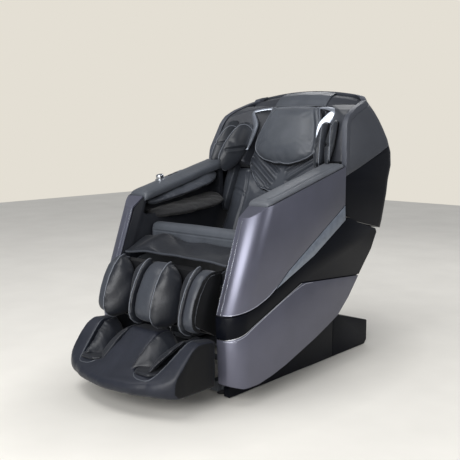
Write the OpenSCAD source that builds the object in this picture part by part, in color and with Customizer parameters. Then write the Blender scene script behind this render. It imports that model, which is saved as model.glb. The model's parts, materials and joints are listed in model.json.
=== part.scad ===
// Zero-wall massage chair: sliding cradle on a floor base, reclining hood and back,
// lifting calf rest with an extending foot rest, and a roller carriage on rods in the back.
// Millimetres. The floor is z = 0, the sitter faces -Y, and +X is the sitter's left.

/* [Overall] */
// Clear width between the two arm walls
seat_gap = 600; // [596:1:604]
// Thickness of each arm, from inner wall to outer panel
arm_w = 100; // [98:1:104]
// Outer width of the hood at shoulder height
hood_w = 744; // [738:1:746]
// Height of the hood's top edge above the floor
chair_h = 1216; // [1212:1:1220]

/* [Arms] */
// Height of the arm top at its front end
arm_front_h = 758; // [752:1:764]
// Rise of the arm top for each millimetre towards the back
arm_slope = 0.25; // [0.24:0.005:0.26]
// Radius of the rounded front corner of the side panels
corner_r = 75; // [70:1:80]
// Wall thickness of the outer side panels
skin = 5; // [4:0.5:6]

/* [Back] */
// Lean of the back from upright, in degrees
back_lean = 24; // [23:0.5:25]
// Thickness of the back pad
back_pad_t = 46; // [40:1:50]
// Radius of the massage rollers
roller_r = 28; // [24:1:30]

/* [Leg rest] */
// Width of the calf rest
calf_w = 540; // [536:2:544]
// Width of the foot rest
foot_w = 616; // [612:2:620]
// Clear width of each calf channel
channel_w = 138; // [132:2:142]

/* [Base] */
// Width over the two side covers of the base
base_w = 580; // [576:2:584]
// Radius of the transport wheels
wheel_r = 27; // [24:1:28]

/* [Hidden] */

$fn = 48;
half_w = seat_gap / 2 + arm_w;
wall_x = seat_gap / 2;
hood_x = hood_w / 2;
gap = 1;                       // half of the shadow gap between neighbouring panels
run = 0.05;                    // radial clearance of a shaft in its bore
clear = 0.3;                   // clearance between faces of different bodies
hair = 0.02;                   // between two large faces of one body that rest on each other

// pivots, as [y, z]
back_pivot = [225, 440];
leg_pivot = [-330, 470];
pin_r = 10;

// colours
shell_grey = "#6d7082";
shell_dark = "#3d4048";
satin_black = "#17181b";
leather = "#464a50";
leather_dark = "#2c2f35";
silver = "#a9adb4";
steel = "#5a5d62";
chrome = "#d5d8dc";

// ---------- outlines in the side view, as [y, z] ----------
function arm_top(y) = arm_front_h + arm_slope * (y + 236);
arm_rear_y = 292;
arm_panel_top_drop = 10;
pad_seat = 16;                 // depth of the arm pad's seat on the casing, below the arm top
front_lean = 20;               // lean of the arm's front edge from upright
front_foot = [-426, 345];      // where the arm's leaning front edge starts
cap_low = [-296, 704];         // lower edge of the chamfered cap under the pad

arm_panel_line = [
  [-236, arm_top(-236) - arm_panel_top_drop], [arm_rear_y, arm_top(arm_rear_y) - arm_panel_top_drop],
  [arm_rear_y, 717], [-110, 486], [-140, 464], [-175, 436], [-230, 402], [-300, 378], [-368, 366],
  [-424, 352], [-349, 571], cap_low - [1, -1]];
blade_line = [[-200, 420], [-175, 434], [-140, 461], [-110, 484], [arm_rear_y, 715], [297, 650],
  [68, 526], [-146, 441]];
band_line = [
  [-426, 348], [-368, 362], [-300, 374], [-230, 398], [-200, 417], [-146, 438], [68, 523], [297, 647],
  [320, 660], [345, 655], [398, 633], [552, 590], [562, 572], [518, 499], [417, 396], [-17, 427],
  [-328, 306], [-422, 264]];
lower_panel_line = [
  [-421, 261], [-328, 303], [-17, 424], [414, 393], [334, 307], [252, 240], [170, 206], [80, 172],
  [-17, 140], [-120, 107], [-205, 86], [-285, 72], [-370, 72], [-411, 84]];
side_line = [
  [-226, arm_top(-226) - pad_seat], [288, arm_top(288) - pad_seat], [292, 700], [420, 560], [400, 400],
  [334, 322], [255, 252], [77, 184], [-111, 120], [-205, 98], [-299, 84], [-400, 88], [-412, 262],
  [-414, 352], [-335, 571], [-284, 699]];
slot_line = [[-232, 678], [-212, 728], [-196, 736], [240, 845], [264, 834], [264, 706], [252, 697],
  [-90, 664], [-214, 666]];

// ---------- functions ----------
function unit(v) = v / norm(v);
function left_of(v) = [-v.y, v.x];
function lerp(a, b, t) = a + (b - a) * t;
function mean(p) = [for (i = [0:len(p[0]) - 1]) sum([for (q = p) q[i]]) / len(p)];
function sum(v, i = 0) = i < len(v) - 1 ? v[i] + sum(v, i + 1) : v[i];
function signed_area(p) = sum([for (i = [0:len(p) - 1]) let (q = p[(i + 1) % len(p)])
  (p[i].x * q.y - q.x * p[i].y) / 2]);
// outline p moved inwards by d, with mitred corners
function inset(p, d) = let (n = len(p), s = signed_area(p) > 0 ? d : -d)
  [for (i = [0:n - 1])
    let (a = left_of(unit(p[i] - p[(i + n - 1) % n])), b = left_of(unit(p[(i + 1) % n] - p[i])))
    p[i] + s * (a + b) / (1 + a * b)];
// open line p moved to its left by d
function shifted(p, d) = let (n = len(p) - 1) [for (i = [0:n])
  let (j = max(i, 1), k = min(i, n - 1), a = left_of(unit(p[j] - p[j - 1])), b = left_of(unit(p[k + 1] - p[k])))
    p[i] + d * (a + b) / (1 + a * b)];
function reversed(p) = [for (i = [len(p) - 1:-1:0]) p[i]];
// distances from the start of line p to its points
function stations(p, i = 0, so_far = 0) = i == len(p) - 1 ? [so_far] :
  concat([so_far], stations(p, i + 1, so_far + norm(p[i + 1] - p[i])));
// point and left normal at distance d along line p
function along(p, d) = let (s = stations(p), last = len(p) - 1,
    at = function(e) [for (axis = [0, 1]) lookup(e, [for (i = [0:last]) [s[i], p[i][axis]]])])
  [at(d), left_of(unit(at(d + 14) - at(d - 14)))];
// area vector of a loop of points in space
function turning(r) = let (c = mean(r))
  sum([for (i = [0:len(r) - 1]) cross(r[i] - c, r[(i + 1) % len(r)] - c)]);

// ---------- building modules ----------
module both_sides() {
  children();
  mirror([1, 0, 0]) children();
}

// side outline as a slab from x0 to x1
module slab(line, x0, x1) {
  translate([x0, 0, 0]) rotate([90, 0, 90]) linear_extrude(x1 - x0) polygon(line);
}

// round bar along X
module bar_x(y, z, r, x0, x1) {
  translate([x0, y, z]) rotate([0, 90, 0]) cylinder(r = r, h = x1 - x0);
}

// Closed skin through rings of points; all rings have the same count. The ends are fans, or with
// strip, for thin rings that run along a line and back, rows of quads.
module loft(rings, strip = false) {
  n = len(rings[0]);
  m = len(rings);
  last = (m - 1) * n;
  points = [for (r = rings) each r, if (!strip) each [mean(rings[0]), mean(rings[m - 1])]];
  outward = turning(rings[0]) * (mean(rings[m - 1]) - mean(rings[0])) > 0;
  faces = [
    for (k = [0:m - 2], i = [0:n - 1]) let (j = (i + 1) % n)
      each [[k * n + i, (k + 1) * n + i, k * n + j], [k * n + j, (k + 1) * n + i, (k + 1) * n + j]],
    if (strip) for (a = [0:n / 2 - 2]) let (b = a + 1, c = n - 2 - a, d = n - 1 - a)
      each [[a, b, c], [a, c, d], [last + b, last + a, last + c], [last + c, last + a, last + d]],
    if (!strip) for (i = [0:n - 1]) let (j = (i + 1) % n)
      each [[i, j, m * n], [last + j, last + i, m * n + 1]]];
  polyhedron(points, outward ? faces : [for (f = faces) [f[2], f[1], f[0]]]);
}

// Cushion: plan w by h in X and Z, flat back at y = 0, front towards -Y.
// rise(u, v) from 0 to 1 gives the crown, edge is the share of t at the seam,
// round draws the corners in, and place(p) may bend the whole form.
// With curved, the rear face is a full grid, so that it follows place(p) too.
module quilt(w, h, t, rise, edge = 0.35, round = 0.3, nu = 10, nv = 10, back = 0.93, curved = false,
             place = function(p) p) {
  function plan(u, v, k) = [w / 2 * u * sqrt(1 - round * v * v / 2) * k,
                            h / 2 * v * sqrt(1 - round * u * u / 2) * k];
  front = [for (j = [0:nv], i = [0:nu]) let (u = 2 * i / nu - 1, v = 2 * j / nv - 1, q = plan(u, v, 1))
    place([q.x, -t * (edge + (1 - edge) * rise(u, v)), q.y])];
  loop = [for (i = [0:nu - 1]) [i, 0], for (j = [0:nv - 1]) [nu, j],
          for (i = [nu:-1:1]) [i, nv], for (j = [nv:-1:1]) [0, j]];
  cells = curved ? [for (j = [0:nv], i = [0:nu]) [i, j]] : loop;
  rear = [for (c = cells) let (q = plan(2 * c[0] / nu - 1, 2 * c[1] / nv - 1, back)) place([q.x, 0, q.y])];
  nf = len(front);
  nl = len(loop);
  function at(i, j) = j * (nu + 1) + i;
  function behind(k) = nf + (curved ? at(loop[k][0], loop[k][1]) : k);
  faces = [
    for (j = [0:nv - 1], i = [0:nu - 1])
      each [[at(i, j), at(i, j + 1), at(i + 1, j)], [at(i + 1, j), at(i, j + 1), at(i + 1, j + 1)]],
    for (k = [0:nl - 1]) let (l = (k + 1) % nl, a = at(loop[k][0], loop[k][1]), b = at(loop[l][0], loop[l][1]))
      each [[a, b, behind(k)], [b, behind(l), behind(k)]],
    if (curved) for (j = [0:nv - 1], i = [0:nu - 1]) let (a = nf + at(i, j), b = nf + at(i, j + 1))
      each [[a, a + 1, b], [a + 1, b + 1, b]],
    if (!curved) for (k = [0:nl - 1]) [nf + k, nf + (k + 1) % nl, nf + nl]];
  polyhedron([each front, each rear, place([0, 0, 0])], faces);
}
soft_dome = function(u, v) (1 - pow(abs(u), 3)) * (1 - pow(abs(v), 3));

// frame of the back: z runs up the back from the pivot, -y faces the sitter
module on_back() {
  translate([0, back_pivot.x, back_pivot.y]) rotate([-back_lean, 0, 0]) children();
}

// ================= base =================
rail_x = 220;
rail_top = 62;
rail_front = -345;
rail_rear = 420;
cover_x = base_w / 2;
axle_y = 632;
axle_z = 33;

module base_frame() {
  color(steel) {
    both_sides() {
      translate([rail_x - 20, rail_front, 22]) cube([40, rail_rear - rail_front, rail_top - 22]);
      translate([rail_x - 12, rail_rear - 1, 22]) cube([24, 245, 22]);
      // bracket and axle pin of the transport wheel
      translate([236, axle_y - 18, 18]) cube([6, 36, 34]);
      translate([rail_x + 11, axle_y - 18, 22]) cube([16, 36, 10]);
      bar_x(axle_y, axle_z, 6, 241, 272);
    }
    for (y = [-325, -60, 200, 395]) translate([-cover_x + 4, y, 26]) cube([2 * cover_x - 8, 22, 18]);
    translate([-rail_x, 628, 26]) cube([2 * rail_x, 20, 16]);
    // shelf under the power supply
    for (y = [480, 556]) translate([-rail_x, y, 28]) cube([2 * rail_x, 14, 16]);
  }
}

cover_line = [[-334, 4], [-338, 40], [-326, 48], [-295, 52], [-200, 62], [-111, 84], [-17, 116], [77, 152],
  [167, 184], [255, 206], [378, 206], [378, 4]];
cover_lip = 262;
module base_covers() {
  color(satin_black) both_sides() {
    difference() {
      slab(cover_line, cover_lip, cover_x);
      slab(inset(cover_line, 4), cover_lip - 1, cover_x - 4);
      // the floor side is open
      translate([cover_lip - 2, -330, 0]) cube([cover_x - 4 - cover_lip + 2, 704, 12.5]);
    }
  }
}

rear_line = [[380, 4], [380, 206], [400, 206], [429, 188], [640, 128], [668, 121], [674, 114], [674, 22],
  [656, 4]];
inlet_x = -150;
switch_x = -90;
module rear_cover() {
  color(satin_black) difference() {
    slab(rear_line, -cover_x, cover_x);
    slab(inset(rear_line, 4), -cover_x + 4, cover_x - 4);
    // open front and floor
    translate([-cover_x + 4, 370, 0]) cube([2 * cover_x - 8, 292, 13]);
    translate([-cover_x + 4, 370, 12]) cube([2 * cover_x - 8, 20, 180]);
    // power inlet and switch openings in the rear wall
    translate([inlet_x - 14, 660, 56]) cube([28, 20, 20]);
    translate([switch_x - 11, 660, 52]) cube([22, 20, 28]);
    // cooling slots in the rear wall
    for (i = [0:6]) translate([40 + i * 22, 660, 48]) cube([8, 20, 48]);
  }
}

module power_supply() {
  color(silver) difference() {
    translate([-70, 470, 44]) cube([230, 110, 64]);
    for (i = [0:5]) translate([-40 + i * 32, 460, 88]) cube([14, 140, 6]);
  }
}

module power_inlet() {
  color(satin_black) difference() {
    union() {
      translate([inlet_x - 13.5, 640, 56.5]) cube([27, 35, 19]);
      translate([inlet_x - 18, 674, 53]) cube([36, 2.5, 26]);
    }
    translate([inlet_x - 11, 658, 59]) cube([22, 30, 14]);
    for (dx = [-7, 0, 7]) translate([inlet_x + dx, 659, dx == 0 ? 69 : 63])
      rotate([90, 0, 0]) cylinder(r = 1.5, h = 12, $fn = 16);
  }
}

switch_at = [672, 66];         // axis of the rocker
module power_switch() {
  color(leather_dark) {
    translate([switch_x, switch_at.x, switch_at.y]) rotate([0, 90, 0]) translate([0, 0, -9])
      linear_extrude(18) polygon([[-11, -6], [11, -6], [11, 3.6], [0, 1.5], [-11, 0.4]]);
    bar_x(switch_at.x, switch_at.y, 1.4, switch_x - 10.5, switch_x + 10.5);
  }
}

foot_spots = [[-300, 1], [60, 1], [408, 1]];
module floor_feet() {
  color(satin_black) both_sides() for (f = foot_spots) {
    translate([rail_x, f[0], 0]) cylinder(r1 = 19, r2 = 17, h = 22);
  }
}

module transport_wheel() {
  color(leather_dark) translate([248, axle_y, axle_z]) rotate([0, 90, 0]) rotate_extrude()
    polygon([[6 + run, 0], [14, 0], [14, 3], [wheel_r - 6, 3], [wheel_r - 6, 0], [wheel_r - 2, 0],
      [wheel_r, 2], [wheel_r, 16], [wheel_r - 2, 18], [wheel_r - 6, 18], [wheel_r - 6, 15], [14, 15], [14, 18],
      [6 + run, 18]]);
}

// ================= cradle: seat frame =================
plate_in = 240;
plate_out = 248;
frame_line = [[-344, 483], [-346, 456], [-325, 440], [-175, 350], [-160, 125], [-140, 110], [150, 110],
  [170, 125], [185, 300], [245, 418], [252, 440], [243, 459], [226, 466], [200, 430], [185, 420],
  [-180, 520], [-200, 520], [-300, 500]];
pan_slope = 102 / 384;
function pan_top(y) = 525 - pan_slope * (y + 188);
pan_line = [[-188, 520], [196, 418], [196, 423], [-188, 525]];

module seat_frame() {
  color(steel) {
    both_sides() {
      difference() {
        slab(frame_line, plate_in, plate_out);
        slab([[-120, 160], [-130, 330], [-60, 330], [20, 160]], plate_in - 1, plate_out + 1);
        slab([[60, 160], [-10, 330], [120, 330], [135, 160]], plate_in - 1, plate_out + 1);
      }
      // stand-offs that carry the side casing
      for (p = [[-120, 130], [154, 215], [-140, 460], [120, 400], [0, 300]])
        bar_x(p.x, p.y, 11, plate_out - 1, wall_x);
      // pivot pin of the back
      bar_x(back_pivot.x, back_pivot.y, pin_r, 223, plate_in + 1);
      // runner over the base rail
      translate([rail_x - 14, -215, 84]) cube([28, 430, 30]);
    }
    slab(pan_line, -wall_x + 12, wall_x - 12);
    // tray of the air pump
    translate([40, -120, 112]) cube([165, 240, 3]);
    for (p = [[-120, 122], [120, 122], [-150, 380], [150, 290]])
      bar_x(p.x, p.y, 11, -plate_in - 1, plate_in + 1);
    bar_x(leg_pivot.x, leg_pivot.y, 8, -plate_in - 1, plate_in + 1);
  }
}

module glide_shoes() {
  color("#d8d8d2") both_sides() for (y = [-200, 140]) difference() {
    translate([rail_x - 26, y, 50]) cube([52, 60, 34]);
    translate([rail_x - 21, y - 1, 40]) cube([42, 62, rail_top + clear - 40]);
  }
}

// ================= cradle: arms =================
sweep_r = 236;                 // the back's side walls pass outside this radius
casing_x = wall_x + 28;
pocket_x = wall_x + 74;
panel_posts = [[-230, 480], [-250, 640]];
band_posts = [[-300, 330], [60, 480], [250, 530]];
lower_posts = [[-320, 120], [-60, 200], [-250, 240], [150, 330]];

module casing_region() {
  union() {
    translate([-600, 0]) square([600 + back_pivot.x, 900]);
    translate(back_pivot) circle(r = sweep_r, $fn = 96);
    translate([0, 668]) square([arm_rear_y, 300]);
  }
}

module side_casing() {
  color(satin_black) difference() {
    union() {
      difference() {
        translate([wall_x, 0, 0]) rotate([90, 0, 90]) linear_extrude(28) intersection() {
          polygon(side_line);
          casing_region();
        }
        translate([wall_x + 4, 0, 0]) rotate([90, 0, 90]) linear_extrude(28) intersection() {
          polygon(inset(side_line, 5));
          union() {
            translate([-600, 0]) square([600 + back_pivot.x, 900]);
            translate(back_pivot) circle(r = sweep_r - 5, $fn = 96);
            translate([0, 680]) square([arm_rear_y - 4, 300]);
          }
        }
      }
      slab(inset(slot_line, -4), wall_x + 1, pocket_x);
      for (p = [each panel_posts, each band_posts, each lower_posts])
        bar_x(p.x, p.y, 15, wall_x + 2, casing_x);
    }
    slab(slot_line, wall_x - 1, pocket_x - 4);
  }
}

// skin that rounds the front corner, in plan, seen from above with the front at y = 0
module corner_plan(x, r, t) {
  difference() {
    union() {
      translate([wall_x, 0]) square([x - r - wall_x, 1400]);
      translate([wall_x, r]) square([x - wall_x, 1400 - r]);
      translate([x - r, r]) circle(r = r, $fn = 96);
    }
    union() {
      translate([wall_x - 1, t]) square([x - r - wall_x + 1, 1400]);
      translate([wall_x - 1, r]) square([x - t - wall_x + 1, 1400]);
      translate([x - r, r]) circle(r = r - t, $fn = 96);
    }
  }
}

// wall of a side panel: cut from the rounded skin by its side outline
module panel_skin(line, x, lean, t = skin, margin = gap) {
  intersection() {
    slab(inset(line, margin), wall_x, half_w + 10);
    leaned(lean) translate([0, 0, -700]) linear_extrude(2000) corner_plan(x, corner_r, t);
  }
}

module leaned(lean) {
  translate([0, front_foot.x, front_foot.y]) rotate([-lean, 0, 0]) children();
}

module posts(list, x) {
  for (p = list) difference() {
    bar_x(p.x, p.y, 10, casing_x, x);
    bar_x(p.x, p.y, 3, casing_x - 1, x - 12);
  }
}

module arm_panel() {
  color(shell_grey) {
    panel_skin(arm_panel_line, half_w, front_lean);
    posts(panel_posts, half_w - skin + 1);
    // bright chamfered cap between the front edge and the arm pad
    intersection() {
      slab([cap_low, [-236, arm_top(-236) - arm_panel_top_drop - gap], [-231, arm_top(-236) - 16],
        cap_low + [6, -5]], wall_x, half_w);
      leaned(front_lean) translate([0, 0, -700]) linear_extrude(2000)
        corner_plan(half_w, corner_r, corner_r - 5);
    }
  }
}

// tongue behind the seam between the band and the lower panel
seam_tongue = [[-17, 441], [417, 410], [405, 384], [-17, 414]];
module side_bands() {
  color(satin_black) both_sides() {
    panel_skin(band_line, half_w - 3, 0);
    posts(band_posts, half_w - 3 - skin + 1);
    slab(seam_tongue, half_w - skin - 7, half_w - skin - 2.9);
  }
}

module lower_panel() {
  color(shell_grey) {
    panel_skin(lower_panel_line, half_w - 1, -3);
    posts(lower_posts, half_w - 1 - skin + 1);
  }
}

module blade_trims() {
  color(silver) both_sides() {
    slab(inset(blade_line, gap), half_w - 8, half_w);
    for (p = [[20, 525], [220, 640]]) bar_x(p.x, p.y, 8, casing_x, half_w - 7);
  }
}

// bright strips: one along the top edge of each lower panel, two down each arm's front
panel_edge = [[-421, 261], [-328, 303], [-17, 424]];
module edge_trims() {
  color(chrome) both_sides() {
    panel_skin(concat(shifted(panel_edge, 1.6), reversed(shifted(panel_edge, -gap))), half_w - 0.5, -3,
      margin = 0);
    for (x = [wall_x + 2, wall_x + 21]) leaned(front_lean) translate([x, -1.4, 9]) cube([2.6, 1.4, 366]);
  }
}

// ================= cradle: upholstery =================
pad_in = wall_x - 16;
pad_out = half_w - 1.5;
function arm_pad_ring(y, k, low) = let (top = arm_top(y) - low,
    w = (pad_out - pad_in) / 2, c = (pad_out + pad_in) / 2)
  [[pad_in + w * (1 - k), top - 22], [pad_in + 4 + w * (1 - k), top - 34 * k], [pad_in + 18, top - 36 * k],
   [c, top - 30], [c + w * k, top - 20], [c + w * k, top - 2], [c + w * 0.9 * k, top + 4],
   [c + w * 0.5, top + 8], [c - w * 0.4, top + 8], [c - w * 0.85 * k, top + 4], [c - w * k, top - 6]];
module arm_pad() {
  ys = [-228, -220, -200, -150, -40, 80, 200, 274, 286];
  ks = [0.86, 0.95, 1, 1, 1, 1, 1, 1, 0.93];
  lows = [8, 3, 0, 0, 0, 0, 0, 0, 4];
  color(leather) difference() {
    loft([for (i = [0:len(ys) - 1]) [for (q = arm_pad_ring(ys[i], ks[i], lows[i])) [q.x, ys[i], q.y]]]);
    // seat on the casing, and a step over the outer panel's top edge
    slab([[-320, arm_top(-320) - pad_seat], [320, arm_top(320) - pad_seat], [320, 500], [-320, 500]],
      wall_x, 389);
    slab([[-320, arm_top(-320) - 10.5], [320, arm_top(320) - 10.5], [320, 500], [-320, 500]],
      388, half_w + 5);
  }
}

module forearm_airbags() {
  color(leather_dark) both_sides() {
    // upper flap under the arm top
    translate([pocket_x - 4, 0, 0]) rotate([0, 0, -90])
      quilt(390, 34, 62, soft_dome, nu = 8, nv = 6, place = function(p)
        [p.x - 10, p.y, p.z + 768 - arm_slope * (p.x - 10)]);
    // lower flap, standing proud of the inner wall
    translate([pocket_x - 4, 0, 0]) rotate([0, 0, -90])
      quilt(380, 24, 92, soft_dome, nu = 8, nv = 6, place = function(p)
        [p.x - 5, p.y, p.z + 689.2 - 0.07 * (p.x - 5)]);
  }
}

module seat_cushion() {
  color(leather_dark) translate([0, 10, pan_top(10) + hair]) rotate([-90 - atan(pan_slope), 0, 0])
    quilt(2 * wall_x - 8, 350, 84, function(u, v)
      soft_dome(u, v) * (1 - 0.25 * exp(-pow(abs(u) - 0.55, 2) * 300)),
      nu = 16, nv = 8, round = 0.12, edge = 0.55);
}

roll_profile = [[-188, 525], [-190, 590], [-188, 616], [-180, 628], [-160, 633], [-140, 629],
  [-129, 617], [-127, 604], [-138, 597], [-163, 588], [-168, pan_top(-168)]];
roll_centre = [-166, 598];
// along the roll: share of its half length, and the scale of its section there
roll_ends = [[-1, 0.8], [-0.985, 0.94], [-0.94, 1], [-0.5, 1], [0, 0.98], [0.5, 1], [0.94, 1],
  [0.985, 0.94], [1, 0.8]];
module seat_roll() {
  color(leather) loft([for (s = roll_ends) [for (p = roll_profile)
    let (q = p.y < 560 ? p : roll_centre + (p - roll_centre) * s[1]) [s[0] * (wall_x - 3), q.x, q.y]]]);
}

// slope of cloth from the roll down to the calf rest
module seat_drape() {
  color(leather_dark) loft([for (i = [0:12]) let (s = i / 6 - 1, x = s * (wall_x - 4),
      dip = 9 * cos(s * 300), peak = 26 * exp(-pow((s + 0.72) * 6, 2)))
    [[x, -190.5, 521], [x, -190.5, 583 + peak / 3], [x, -230, 570 + peak + dip / 3], [x, -285, 548 + dip],
     [x, -338 + 10 * cos(s * 200), 524 + dip / 2], [x, -340, 514], [x, -300, 500.2], [x, -200, 520.2]]]);
}

// ================= cradle: controls and drives =================
pod_x = -(wall_x + 56);
pod_y = -60;
pod_tilt = atan(arm_slope);
module on_arm(dx, dy) {
  translate([pod_x + dx, pod_y + dy, arm_top(pod_y + dy) + 8]) rotate([pod_tilt, 0, 0]) children();
}

module control_pod() {
  color(chrome) on_arm(0, 40) difference() {
    union() {
      translate([-15, -56, 0]) cube([30, 150, 4]);
      translate([0, -56, 0]) cylinder(r = 24, h = 6);
    }
    translate([0, -56, 3]) cylinder(r = 18 + clear, h = 5);
    for (y = [10, 44]) translate([-7 - clear, y - 10 - clear, 1.6])
      cube([14 + 2 * clear, 20 + 2 * clear, 5]);
    translate([0, 76, 2.8]) cylinder(r = 6, h = 3);
  }
}

module control_knob() {
  color(chrome) on_arm(0, 40) translate([0, -56, 3.2]) rotate_extrude()
    polygon([[0, 0], [17, 0], [18, 2], [17.2, 20], [15, 23], [9, 24.5], [0, 25]]);
}

module push_button(y) {
  color(satin_black) on_arm(0, 40) translate([-7, y - 10, 3.2]) cube([14, 20, 3.4]);
}

module air_pump() {
  color(satin_black) {
    translate([60, -60, 134]) cube([130, 150, 90]);
    for (x = [90, 160]) translate([x, -60, 180]) rotate([90, 0, 0]) cylinder(r = 7, h = 22);
    for (x = [80, 170], y = [-40, 70]) translate([x, y, 115]) cylinder(r = 10, h = 20);
  }
}

lever_len = 91;                // drop of the recline pin below the back's pivot
recline_z = back_pivot.y - lever_len;
recline_start = back_pivot.x + lever_len * tan(22.5);
module recline_actuator() {
  color(satin_black) {
    translate([-34, -118, recline_z - 28]) cube([62, 80, 56]);
    translate([0, -40, recline_z]) rotate([-90, 0, 0]) difference() {
      cylinder(r = 20, h = 200);
      translate([0, 0, 60]) cylinder(r = 9 + run, h = 160);
    }
    // clamp under the seat frame's front cross tube
    translate([-20, -170, 332]) cube([30, 56, 14]);
    difference() {
      translate([-20, -162, 340]) cube([30, 24, 34]);
      bar_x(-150, 380, 11, -40, 40);
    }
  }
}

module recline_rod() {
  color(silver) {
    translate([0, 98, recline_z]) rotate([-90, 0, 0]) cylinder(r = 9, h = recline_start - 98 - 8);
    translate([-7, recline_start - 14, recline_z - 12]) cube([14, 24, 24]);
    bar_x(recline_start, recline_z, 6, -24, 24);
  }
}

leg_drop = 60;
leg_lift_z = leg_pivot.y - leg_drop;
leg_start = leg_pivot.x + leg_drop * tan(37.5);
module legrest_actuator() {
  color(satin_black) {
    translate([-34, -8, leg_lift_z - 38]) cube([62, 70, 50]);
    translate([0, -210, leg_lift_z]) rotate([-90, 0, 0]) difference() {
      cylinder(r = 17, h = 205);
      translate([0, 0, -1]) cylinder(r = 9 + run, h = 150);
    }
    // strap up to the seat pan, and saddle on the cross tube
    slab([[20, leg_lift_z + 10], [40, leg_lift_z + 10], [40, pan_top(40) - 5], [20, pan_top(20) - 5]],
      -12, 12);
    difference() {
      translate([-12, -162, 380]) cube([24, 24, 16]);
      bar_x(-150, 380, 11, -40, 40);
    }
  }
}

module legrest_rod() {
  color(silver) {
    translate([0, leg_start + 8, leg_lift_z]) rotate([-90, 0, 0]) cylinder(r = 9, h = 200);
    translate([-7, leg_start - 10, leg_lift_z - 11]) cube([14, 24, 22]);
    bar_x(leg_start, leg_lift_z, 6, -24, 24);
  }
}

// ================= back =================
member_x = 222;                // inner face of the back frame's side members
pad_back = 15;                 // local y of the pads' rear face
rod_y = 118;
rod_x = 190;
frame_top = 690;
strut_y = 100;
strut_r = 9;

member_line = [[-26, -20], [-10, -30], [12, -28], [26, -8], [40, 40], [132, 52], [132, frame_top],
  [pad_back, frame_top], [pad_back, 26], [-20, 12]];
module back_frame() {
  color(steel) on_back() {
    both_sides() {
      difference() {
        slab(member_line, member_x, member_x + 10);
        bar_x(0, 0, pin_r + run, member_x - 5, member_x + 15);
        for (z = [130:110:600]) slab([[48, z], [100, z], [100, z + 70], [48, z + 70]],
          member_x - 1, member_x + 11);
      }
      // guide rod of the carriage
      translate([rod_x, rod_y, 66]) cylinder(r = 8, h = frame_top - 86);
      // lever plates of the recline drive, drawn at their rest angle
      rotate([back_lean + 22.5, 0, 0]) difference() {
        slab([[-14, 0], [14, 0], [14, -112], [-14, -112]], 11, 18);
        slab([[-7.2, -84], [7.2, -84], [7.2, -105.5], [-7.2, -105.5]], 10, 19);
      }
    }
    for (z = [66, frame_top - 20]) bar_x(rod_y, z, 13, -member_x - 1, member_x + 1);
    bar_x(pad_back + 14, frame_top - 14, 12, -member_x - 1, member_x + 1);
    difference() {
      bar_x(0, 0, 17, -member_x - 1, member_x + 1);
      bar_x(0, 0, 12, -member_x - 2, -200);
      bar_x(0, 0, 12, 200, member_x + 2);
    }
    // struts out to the hood
    for (z = [300, 560]) let (h = back_pivot.y + z * cos(back_lean) - strut_y * sin(back_lean))
      both_sides() bar_x(strut_y, z, strut_r, member_x + 9,
        min(hood_half(h - strut_r), hood_half(h + strut_r)) - hood_t);
  }
}

// stations of the hood: height, rear of the wall, and how far its sides stand out at that height
hood_t = 9;
rim_w = 24;                    // width and depth of the thick rim round the hood's open side
rim_d = 14;
hood_stations = [[560, 664, 17], [620, 688, 17], [680, 706, 17], [740, 724, 17], [803, 735, 17],
  [870, 740, 27], [931, 738, 25], [990, 728, 12], [1037, 712, 1], [1080, 690, -8], [1115, 662, -14],
  [1160, 630, -30], [1190, 612, -36], [1230, 603, -42]];
function hood_half(z) = hood_x + lookup(z, [for (h = hood_stations) [h[0], h[2]]]);
function hood_rear(z) = lookup(z, [for (h = hood_stations) [h[0], h[1]]]);
hood_bulge = 7;
function arc(c, r, a0, n = 6) = [for (i = [0:n]) let (a = a0 + 90 * i / n) c + r * [cos(a), sin(a)]];
// section at height z, moved inwards by t: a U that is open towards the sitter
function hood_ring(z, t) = let (x = hood_half(z) - t, yr = hood_rear(z) - t,
    r = lookup(z, [[990, 85], [1160, 110]]) - t)
  [for (p = [[x, 250], each arc([x - r, yr - r - hood_bulge], r, 0), [0, yr],
    each arc([-x + r, yr - r - hood_bulge], r, 90), [-x, 250]]) [p.x, p.y, z]];
hood_side = [[296, 690], [296, 905], [301, 950], [320, 1000], [331, 1030], [342, 1060], [356, 1080],
  [375, 1099], [430, 1127], [512, 1155], [560, 1172], [568, 1260], [800, 1260], [800, 560], [624, 583],
  [396, 636], [350, 655], [320, 668]];
seam_front_z = 835;
roof_r = 1466;                 // radius of the roof's arch across the hood
function roof_drop(x) = x * x / (2 * roof_r);
module hood_space(lo, hi, t) {
  inner = [for (h = hood_stations) if (h[0] > lo && h[0] < hi) h[0]];
  loft([for (z = [lo, each inner, hi]) hood_ring(z, t)]);
}
module hood_wall(lo, hi) {
  intersection() {
    difference() {
      hood_space(lo, hi, 0);
      hood_space(lo - 5, hi + 5, rim_w);
      intersection() {
        hood_space(lo - 5, hi + 5, hood_t);
        slab(inset(hood_side, rim_d), -half_w, half_w);
      }
    }
    slab(hood_side, -half_w, half_w);
    translate([0, 250, chair_h - roof_r]) rotate([-90, 0, 0]) cylinder(r = roof_r, h = 600, $fn = 360);
  }
}

seam_rise = 152;
seam_line = [[250, seam_front_z - 18], [296, seam_front_z], [750, seam_front_z + seam_rise], [760, 1300],
  [250, 1300]];
module upper_back_cover() {
  color(shell_dark) intersection() {
    hood_wall(810, chair_h + 4);
    slab(inset(seam_line, gap), -half_w, half_w);
  }
}

module lower_back_cover() {
  color(satin_black) difference() {
    hood_wall(560, 1010);
    slab(inset(seam_line, -gap), -half_w - 2, half_w + 2);
  }
}

// half width of the ribbed upper pad, and of the pillow over it, at heights up the back
neck_half = [[325, 60], [334, 100], [353, 130], [390, 168], [428, 203], [467, 222], [515, 216], [560, 204],
  [640, 180], [745, 146]];
pillow_half = [[447, 46], [455, 82], [475, 135], [505, 178], [545, 193], [590, 190], [650, 172], [749, 145]];
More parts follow.
